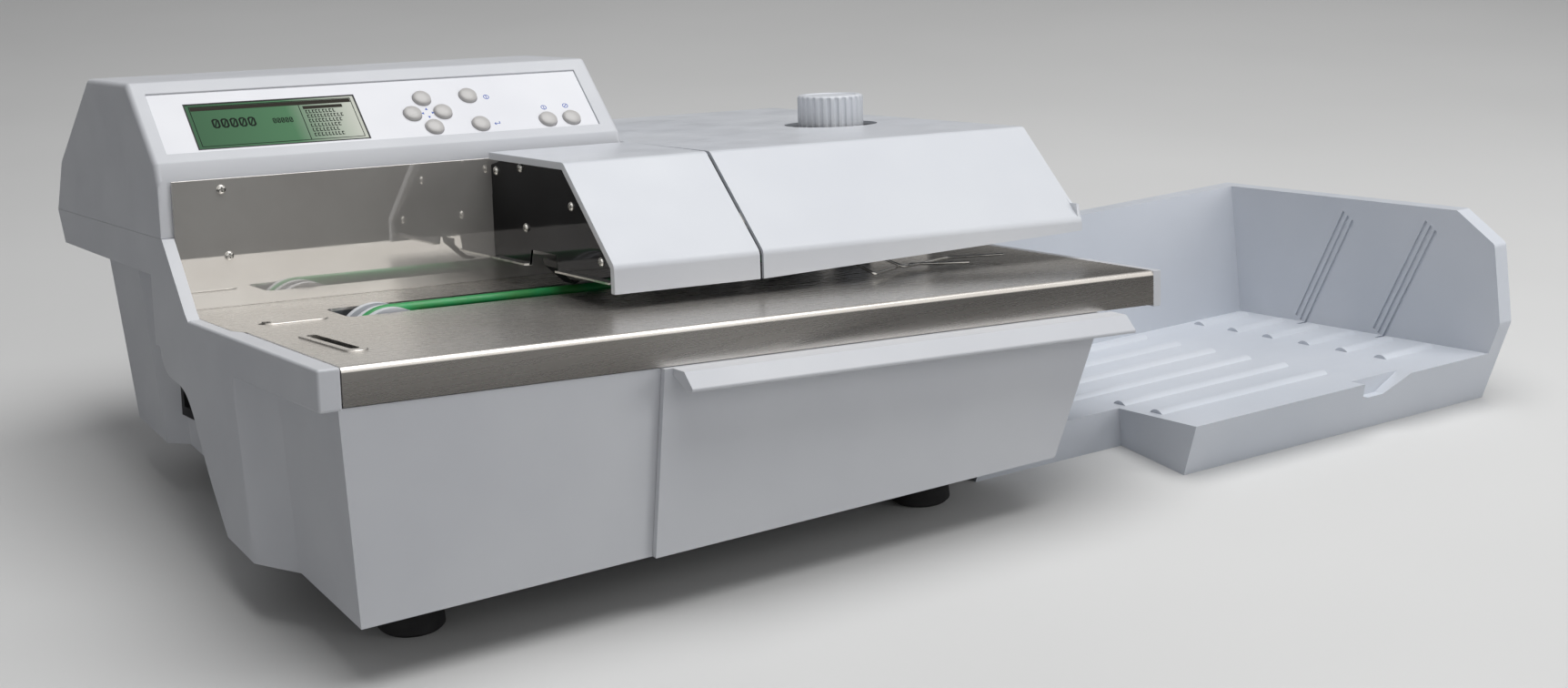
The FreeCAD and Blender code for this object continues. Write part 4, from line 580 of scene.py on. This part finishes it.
brokenEdge = {
    # millimetres
    "base_housing": 1.2, "base_pan": 0.5, "feet": 0.8, "power_inlet": 0.5, "switch_frame": 0.5,
    "switch_rocker": 0.5, "deck_plate": 0.3, "end_rail": 0.5, "fence_plate": 0.3,
    "feeder_side_plate": 0.25, "separator_pad": 0.6, "drive_frame": 0.3, "bearings": 0.2,
    "idler_pulley": 0.3, "drive_pulley": 0.15, "transport_drive_roller": 0.15,
    "transport_end_roller": 0.3, "transport_belt": 0.3, "feed_motor": 0.4, "motor_shaft": 0.15,
    "timing_belt": 0.2, "chassis_plate": 0.3, "chip_chute": 0.3, "carriage_guides": 0.3,
    "cutter_carriage": 0.5, "cutter_motor": 0.4, "milling_cutter": 0.12, "knob_bridge": 0.4,
    "feeder_hood": 0.5, "hood_knuckles": 0.2, "main_cover": 0.5, "cover_knuckles": 0.3,
    "hinge_brackets": 0.3, "hinge_pins": 0.2, "roller_beam": 0.3, "roller_arm_left": 0.2,
    "roller_arm_right": 0.2, "pressure_roller_left": 0.4, "pressure_roller_right": 0.4,
    "console_housing": 0.6, "console_panel": 0.2, "lcd_module": 0.2, "button_board": 0.1,
    "power_supply": 0.3, "drawer_front": 0.8, "chip_bin": 0.5, "drawer_runners": 0.3,
    "output_tray": 1.2,
}
# The side plate takes the painted dark reflection; the separator pad is rubber.
ownFinish = {"feeder_side_plate": "sidePlatePaintedDark", "separator_pad": "rubber"}
for node, edge in brokenEdge.items():
    look = ownFinish.get(node, slotFinish[nodeSlot[node]])
    softened(node, finish[look], edge)


# Feed belt: a closed loop of round green stock over the two feed pulleys
print("feed belt")

feedBelt = {"left": 118.0, "right": 318.0, "y": 211.0, "z": -28.0, "pulley": 28.0, "radius": 4.0,
            "arcSteps": 20}


def beltLoop(size):
    loop = []
    for centre, start in ((size["right"], 90.0), (size["left"], 270.0)):
        for k in range(size["arcSteps"] + 1):
            a = math.radians(start - 180.0 * k / size["arcSteps"])
            across, up = size["pulley"] * math.cos(a), size["pulley"] * math.sin(a)
            loop.append((centre + across, size["y"], size["z"] + up))
    return loop


tube("feedBelt", beltLoop(feedBelt), feedBelt["radius"], finish["belt"], "base", ["feed_belt"],
     closed=True, sides=20)


# Screws of the fence and the feeder's side plate: cross-head pan screws
print("screws")

panScrew = {"head": 3.4, "height": 2.0, "crossLong": 2.1, "crossWide": 0.55, "crossDeep": 1.3}
screwSpots = [((33.5, 306.0, 85.7), (0, -1, 0)), ((36.3, 306.0, 37.2), (0, -1, 0)),
              ((245.5, 296.0, 84.5), (-1, 0, 0)), ((245.5, 252.0, 89.4), (-1, 0, 0)),
              ((245.5, 167.0, 67.0), (-1, 0, 0)), ((245.5, 246.0, 45.0), (-1, 0, 0)),
              ((245.5, 122.0, 31.0), (-1, 0, 0))]


def panScrewPart(size):
    r, h = size["head"], size["height"]
    bm = bmesh.new()
    profile = [(0, -0.3), (r, -0.3), (r, 0.5), (r * 0.97, 0.62), (r * 0.9, 0.66), (r * 0.86, 0.9),
               (r * 0.78, h * 0.75), (r * 0.6, h * 0.92), (r * 0.35, h), (0, h * 1.03)]
    lathe(bm, profile, Matrix.Identity(4), 32)
    bmesh.ops.recalc_face_normals(bm, faces=bm.faces)
    head = bpy.data.meshes.new("panScrew")
    bm.to_mesh(head)
    bm.free()
    cross = bmesh.new()
    long, wide = size["crossLong"], size["crossWide"]
    outline = [(wide, wide), (wide, long), (-wide, long), (-wide, wide), (-long, wide), (-long, -wide),
               (-wide, -wide), (-wide, -long), (wide, -long), (wide, -wide), (long, -wide), (long, wide)]
    slab(cross, outline, h - size["crossDeep"], h + 1, Matrix.Identity(4))
    bmesh.ops.recalc_face_normals(cross, faces=cross.faces)
    recess = bpy.data.meshes.new("crossRecess")
    cross.to_mesh(recess)
    cross.free()
    body = bpy.data.objects.new("panScrewBody", head)
    tool = bpy.data.objects.new("panScrewTool", recess)
    scene.collection.objects.link(body)
    scene.collection.objects.link(tool)
    cut = body.modifiers.new("recess", "BOOLEAN")
    cut.operation = "DIFFERENCE"
    cut.object = tool
    mesh = flatMesh(body)
    bpy.data.objects.remove(tool)
    part = bpy.data.objects.new("panScrewPart", mesh)
    scene.collection.objects.link(part)
    return part


screwPart = panScrewPart(panScrew)
scattered("plateScrews", screwPart, screwSpots, finish["screw"], "base", ["plate_screws"])
bpy.data.objects.remove(screwPart)


# Depth knob: white nylon, fluted all round, on its shaft with the eccentric pin
print("depth knob")

knob = {"x": 570.0, "y": 335.0, "radius": 27.5, "low": 94.5, "high": 122.5, "flutes": 26, "fluteDeep": 1.5,
        "shaft": 5.0, "shaftLow": 48.0, "collarLow": 66.3, "shaftTop": 115.5, "pinRadius": 3.0, "pinLow": 40.8,
        "eccentric": 1.5, "hub": 11, "wall": 4, "hollow": 8, "collar": 3}


def knobMesh(size):
    r, low, high = size["radius"], size["low"], size["high"]
    hub, wall, hollow = size["hub"], r - size["wall"], low + size["hollow"]
    # Up inside the hub and the skirt, up the fluted side, over the rim and across the sunk top.
    profile = [(size["shaft"] + 0.02, low), (hub, low), (hub, hollow), (wall, hollow), (wall, low), (r - 0.4, low),
               (r, low + 0.5), (r, low + 5), (r, high - 5), (r, high - 2.6), (r - 0.3, high - 1.5),
               (r - 1.1, high - 0.5), (r - 2.2, high), (r - 5.4, high), (r - 5.9, high - 0.3),
               (r - 6.1, high - 0.8), (0, high - 0.8)]
    mark = [0, 0, 0, 0, 0, 1, 1, 1, 1, 0.9, 0.35, 0, 0, 0, 0, 0, 0]
    bm = bmesh.new()
    lathe(bm, profile, Matrix.Identity(4), size["flutes"] * 10, mark)
    bmesh.ops.recalc_face_normals(bm, faces=bm.faces)
    mesh = bpy.data.meshes.new("knobBlank")
    bm.to_mesh(mesh)
    bm.free()
    cap = grown(mesh, "depthKnob", fluting, fluteSockets,
                {"Flutes": size["flutes"], "Depth": size["fluteDeep"] / 1000, "Material": finish["nylon"]})
    cap.transform(deckFrame @ shifted(size["x"], size["y"], 0))
    shadeByAngle(cap, 40)
    return cap


settle(bpy.data.objects.new("depthKnob", knobMesh(knob)), "depth_knob", ["depth_knob"])
bm = bmesh.new()
shaftPlace = deckFrame @ shifted(knob["x"], knob["y"], 0)
r, low, collar, top = knob["shaft"], knob["shaftLow"], knob["collarLow"], knob["shaftTop"]
wide = r + knob["collar"]
lathe(bm, [(0, low), (r - 0.4, low), (r, low + 0.4), (r, collar), (wide, collar + 0.1), (wide, collar + 3.9),
           (r, collar + 4), (r, top), (0, top)], shaftPlace, 40)
r, foot = knob["pinRadius"], knob["pinLow"]
pinPlace = shaftPlace @ shifted(knob["eccentric"], 0, 0)
lathe(bm, [(0, foot), (r - 0.4, foot), (r, foot + 0.4), (r, low), (0, low)], pinPlace, 24)
fromBmesh(bm, "knobShaft", finish["machined"], "depth_knob", ["depth_knob"])


# Keys: eight domed resin keys, each in its own hole of the panel
print("keys")

key = {"radius": 7.25, "foot": -2.8, "flange": 7.85, "rim": 0.4, "dome": 2.3, "board": -8.9, "stem": 2.0,
       "flangeLow": -4.2, "rimInset": 0.25, "domeSteps": 9}
keySpots = {
    "button_up": (209.8, 48.2), "button_left": (197.3, 33.0), "button_right": (222.3, 33.0),
    "button_down": (210.4, 18.0), "button_menu": (248.3, 48.2), "button_enter": (248.8, 18.0),
    "button_start": (305.8, 18.0), "button_stop": (326.2, 18.0)}


def keyProfile(size):
    r, rim, stem, flange, steps = size["radius"], size["rim"], size["stem"], size["flange"], size["domeSteps"]
    inner, start = r - size["rimInset"], rim - 0.15
    profile = [(0, size["board"]), (stem, size["board"]), (stem, size["flangeLow"]), (flange, size["flangeLow"]),
               (flange, size["foot"]), (r, size["foot"]), (r, rim - 0.7), (inner, start)]
    for k in range(1, steps + 1):
        a = math.pi / 2 * k / steps
        across = inner * math.cos(a) if k < steps else 0
        profile.append((across, start + (size["dome"] - start) * math.sin(a)))
    return profile


for node, (x, s) in keySpots.items():
    bm = lathe(bmesh.new(), keyProfile(key), slopeFrame @ shifted(x, s, 0), 48)
    words = node.split("_")
    fromBmesh(bm, words[1] + "Key", finish["key"], node, [node], smooth=40)


# Panel: the display's rebate, its image and the small printed signs beside the keys
print("panel and display")

panelFace = -1.2
image = {"proud": 0.06, "line": 0.55, "digitHigh": 9.4, "digitWide": 5.7, "digitPitch": 6.8, "digitStroke": 1.35,
         "smallHigh": 5.2, "smallWide": 2.6, "smallPitch": 3.2, "smallStroke": 0.65, "divider": 111.0}


def zero(bm, x, s, wide, high, stroke, low, top):
    # A nought with clipped corners and a slanting stroke across it.
    c = wide * 0.28
    outer = [(x + c, s), (x + wide - c, s), (x + wide, s + c), (x + wide, s + high - c),
             (x + wide - c, s + high), (x + c, s + high), (x, s + high - c), (x, s + c)]
    middle = (x + wide / 2, s + high / 2)
    fx, fy = 1 - 2 * stroke / wide, 1 - 2 * stroke / high
    inner = [(middle[0] + (px - middle[0]) * fx, middle[1] + (py - middle[1]) * fy) for px, py in outer]
    band(bm, outer, inner, low, top, slopeFrame)
    slash = [(x + stroke, s + high * 0.24), (x + stroke * 1.7, s + high * 0.2),
             (x + wide - stroke, s + high * 0.76), (x + wide - stroke * 1.7, s + high * 0.8)]
    slab(bm, slash, low, top, slopeFrame)


def displayImage():
    low, top = lcd["face"] - 0.05, lcd["face"] + image["proud"]
    left, right, base, head = lcd["left"], lcd["right"], lcd["low"], lcd["high"]
    bm = bmesh.new()
    outer = oblong(left + 3.6, right - 3.6, base + 3.0, head - 2.6)
    inner = oblong(left + 3.6 + image["line"], right - 3.6 - image["line"], base + 3.0 + image["line"],
                   head - 2.6 - image["line"])
    band(bm, outer, inner, low, top, slopeFrame)
    slab(bm, oblong(image["divider"], image["divider"] + 0.6, base + 3.2, head - 7.4), low, top, slopeFrame)
    for k in range(5):
        zero(bm, left + 17.0 + k * image["digitPitch"], 31.8, image["digitWide"], image["digitHigh"],
             image["digitStroke"], low, top)
        zero(bm, left + 63.0 + k * image["smallPitch"], 33.2, image["smallWide"], image["smallHigh"],
             image["smallStroke"], low, top)
    # Menu rows and header are unreadable strokes.
    steady = random.Random(4)
    for row in range(6):
        x = image["divider"] + 4.0
        end = x + steady.uniform(19, 31)
        while x < end:
            wide = steady.uniform(1.5, 2.1)
            s = 41.0 - row * 4.7
            slab(bm, oblong(x, x + wide, s, s + 0.75), low, top, slopeFrame)
            slab(bm, oblong(x, x + 0.7, s, s + 3.4), low, top, slopeFrame)
            slab(bm, oblong(x, x + wide * steady.choice((0.6, 1.0)), s + 2.65, s + 3.4), low, top, slopeFrame)
            x += wide + 0.9
    fromBmesh(bm, "displayImage", finish["segment"], "base")
    bm = bmesh.new()
    slab(bm, oblong(left + 4.4, right - 4.4, head - 7.2, head - 3.4), low - 0.01, top - 0.02, slopeFrame)
    slab(bm, oblong(image["divider"] + 3.0, image["divider"] + 34.0, 45.4, 48.6), low, top, slopeFrame)
    fromBmesh(bm, "displayBars", finish["headerSegment"], "base")


displayImage()
bm = bmesh.new()
band(bm, oblong(lcd["left"] - 0.05, lcd["right"] + 0.05, lcd["low"] - 0.05, lcd["high"] + 0.05),
     oblong(lcd["left"] + 1.1, lcd["right"] - 1.1, lcd["low"] + 1.1, lcd["high"] - 1.1), lcd["face"] - 0.1,
     lcd["face"] + 0.3, slopeFrame)
fromBmesh(bm, "displayGasket", finish["rubber"], "base")

sign = {
    "thick": 0.05, "ring": 2.4, "stroke": 0.6, "arrow": 1.5,
    "cross": (209.9, 33.0),            # between the four arrow keys
    "rings": ((263.0, 46.0, 90), (306.8, 31.0, 90), (325.6, 31.4, 45)),  # place and the bar's angle
    # place, length and angle
    "enterBars": ((262.4, 17.4, 4.6, 0), (264.6, 18.4, 2.4, 90), (260.8, 18.0, 1.9, 42),
                  (260.8, 16.8, 1.9, -42)),
}


def signRing(bm, x, s, radius, stroke):
    band(bm, ringPoints(x, s, radius), ringPoints(x, s, radius - stroke), panelFace - 0.02,
         panelFace + sign["thick"], slopeFrame)


def signBar(bm, x, s, long, angle, stroke):
    a = math.radians(angle)
    along = Vector((math.cos(a), math.sin(a))) * long / 2
    across = Vector((-math.sin(a), math.cos(a))) * stroke / 2
    centre = Vector((x, s))
    slab(bm, [tuple(centre + along * i + across * j) for i, j in ((-1, -1), (1, -1), (1, 1), (-1, 1))],
         panelFace - 0.02, panelFace + sign["thick"], slopeFrame)


bm = bmesh.new()
for dx, ds, turn in ((0, 4.2, 90), (0, -4.2, -90), (-4.2, 0, 180), (4.2, 0, 0)):
    corners = [math.radians(turn + a) for a in (0, 130, 230)]
    x, s = sign["cross"][0] + dx, sign["cross"][1] + ds
    tip = [(x + sign["arrow"] * math.cos(a), s + sign["arrow"] * math.sin(a)) for a in corners]
    slab(bm, tip, panelFace - 0.02, panelFace + sign["thick"], slopeFrame)
for x, s, angle in sign["rings"]:
    signRing(bm, x, s, sign["ring"], sign["stroke"])
    signBar(bm, x, s, sign["ring"] * 1.3, angle, sign["stroke"])
for x, s, long, angle in sign["enterBars"]:
    signBar(bm, x, s, long, angle, sign["stroke"])
fromBmesh(bm, "panelSigns", finish["blueInk"], "base")


# Feeder: the side plate's turned lip, and the black tongue that rests on the belt
print("feeder details")

lip = {"plate": 245.5, "low": 17.0, "thick": 1.3, "out": 3.6, "runs": ((104.5, 193.5), (243.5, 304.5))}
bm = bmesh.new()
for start, end in lip["runs"]:
    x = lip["plate"]
    slab(bm, [(x - lip["out"], start + 2), (x - lip["out"], end - 1), (x + 1.4, end), (x + 1.4, start)],
         lip["low"] - 0.2, lip["low"] + lip["thick"], deckFrame)
fromBmesh(bm, "sidePlateLip", finish["screw"], "base")
# A black sprung tongue hangs from the plate's foot and leans down on the belt.
tongue = {"x": 246.8, "top": 24.0, "tip": 5.6, "reach": 15.0, "front": 199.0, "back": 223.0, "thick": 0.7,
          "lean": 5.0}


def tongueMesh(size):
    bm = bmesh.new()
    root, end = size["x"], size["x"] + size["reach"]
    spine = [(root, size["top"]), (root + 0.6, size["top"] - 5), (end, size["tip"]), (end + 5, size["tip"] + 1.2)]
    rows = []
    for k, (x, z) in enumerate(spine):
        slim = k * size["lean"] / 3
        front, back, thick = size["front"] + slim, size["back"] - slim, size["thick"]
        corners = ((0, front), (0, back), (thick, back), (thick, front))
        rows.append([bm.verts.new(deckFrame @ (Vector((x + dx, y, z)) / 1000)) for dx, y in corners])
    for a, b in zip(rows, rows[1:]):
        for k in range(4):
            bm.faces.new([a[k], a[(k + 1) % 4], b[(k + 1) % 4], b[k]])
    bm.faces.new(rows[0])
    bm.faces.new(rows[-1][::-1])
    return bm


fromBmesh(tongueMesh(tongue), "feedTongue", finish["blackPlastic"], "base")

# Power inlet: three flat plated blades in the recess
blade = {"foot": 30.1, "tip": 38.3, "y": 372.0, "z": -76.0, "wide": 1.05, "high": 2.05,
         "spots": ((-7, -1.5), (0, 2), (7, -1.5))}
bm = bmesh.new()
for dy, dz in blade["spots"]:
    y, z = blade["y"] + dy, blade["z"] + dz
    slab(bm, oblong(blade["foot"], blade["tip"], y - blade["wide"], y + blade["wide"]), z - blade["high"],
         z + blade["high"], deckFrame)
fromBmesh(bm, "inletBlades", finish["brass"], "base")

# Exit guides: springy wires that press the letters down under the main cover
guide = {"radius": 1.1, "root": 57.8, "bend": 3.2}
guideRuns = [[(446, 250, guide["root"]), (446, 150, 22), (462, 104, 4), (515, 138, 3.2), (548, 104, 5)],
             [(470, 250, guide["root"]), (470, 158, 22), (500, 122, 4), (560, 150, 3.2), (590, 118, 6)]]
tube("exitGuides", [rounded(run, guide["bend"]) for run in guideRuns], guide["radius"], finish["screw"],
     "base", ["exit_guides"], sides=10)


# Stage, camera and light
print("stage, camera and light")

bpy.ops.mesh.primitive_plane_add(size=14, location=(0.4, 0.2, 0))
floor = bpy.context.object
floor.name = "floor"
floorLook, tree, shader, place = newMaterial("paleFloor", "#d7d7d6", 0.75)
toneDrift(tree, shader, place, "#d9d9d8", "#d4d4d3", 700)
floor.data.materials.append(floorLook)
floor.visible_glossy = False

lens = {"centre": (-513.6, -1414.5, 250.0), "right": (0.8585, -0.5119, -0.0294),
        "down": (-0.1081, -0.1246, -0.9863), "forward": (0.5012, 0.85, -0.1624), "focal": 56.11}
camera = bpy.data.objects.new("camera", bpy.data.cameras.new("camera"))
camera.data.lens = lens["focal"]
camera.data.sensor_width = 36.0
camera.data.clip_start, camera.data.clip_end = 0.05, 30.0
axes = Matrix((Vector(lens["right"]), -Vector(lens["down"]), -Vector(lens["forward"]))).transposed()
camera.matrix_world = deckFrame @ Matrix.Translation(Vector(lens["centre"]) / 1000) @ axes.to_4x4()
scene.collection.objects.link(camera)
scene.camera = camera

# The fills light what is matt; only the softbox overhead shows in the metals.
lamps = {
    # name: place (m), aim (m), size (m), watts
    "topSoftbox": ((0.7, -0.1, 2.4), (0.4, 0.2, 0.1), 2.4, 49.0),
    "frontFill": ((1.7, -1.5, 0.8), (0.7, 0.1, 0.1), 1.0, 9.0),
    "leftFill": ((-2.2, -0.6, 1.1), (0.2, 0.2, 0.15), 1.6, 0.3),
}
for name, (spot, aim, size, watts) in lamps.items():
    lamp = bpy.data.lights.new(name, "AREA")
    lamp.shape = "DISK"
    lamp.size = size
    lamp.energy = watts
    thing = bpy.data.objects.new(name, lamp)
    thing.location = spot
    thing.rotation_euler = (Vector(aim) - Vector(spot)).to_track_quat("-Z", "Y").to_euler()
    thing.visible_glossy = name == "topSoftbox"
    scene.collection.objects.link(thing)


def studioWorld():
    # Pale to the camera and as ambient light. Metals see a room that is dark low down, above all at the
    # left, and bright higher up at the front, fading towards the back.
    world = bpy.data.worlds.new("studio")
    world.use_nodes = True
    scene.world = world
    tree = world.node_tree
    tree.nodes.clear()
    path = addNode(tree, "ShaderNodeLightPath")
    ambient = addNode(tree, "ShaderNodeBackground", {"Color": linear("#ecedf0"), "Strength": 0.27})
    seen = addNode(tree, "ShaderNodeBackground", {"Color": linear("#e2e2e1"), "Strength": 1.0})
    way = addNode(tree, "ShaderNodeTexCoord")
    parts = addNode(tree, "ShaderNodeSeparateXYZ", {}, {0: way.outputs["Generated"]})
    side = addNode(tree, "ShaderNodeMapRange",
                   {"From Min": -0.45, "From Max": 0.35, "To Min": 0.015, "To Max": 0.04},
                   {"Value": parts.outputs["X"]})
    height = addNode(tree, "ShaderNodeMapRange", {"From Min": 0.05, "From Max": 0.21},
                     {"Value": parts.outputs["Z"]})
    depth = addNode(tree, "ShaderNodeMapRange",
                    {"From Min": -0.4, "From Max": 0.6, "To Min": 1.3, "To Max": 0.3},
                    {"Value": parts.outputs["Y"]})
    level = addNode(tree, "ShaderNodeMix", {"data_type": "FLOAT"},
                    {0: height.outputs[0], 2: side.outputs[0], 3: depth.outputs[0]})
    room = addNode(tree, "ShaderNodeBackground", {"Color": linear("#f4f2ef")}, {"Strength": level.outputs[0]})
    shiny = addNode(tree, "ShaderNodeMixShader", {},
                    {0: path.outputs["Is Glossy Ray"], 1: ambient.outputs[0], 2: room.outputs[0]})
    whole = addNode(tree, "ShaderNodeMixShader", {},
                    {0: path.outputs["Is Camera Ray"], 1: shiny.outputs[0], 2: seen.outputs[0]})
    addNode(tree, "ShaderNodeOutputWorld", {}, {"Surface": whole.outputs[0]})


studioWorld()
scene.view_settings.view_transform = "Standard"

bpy.context.view_layer.update()
print("done")
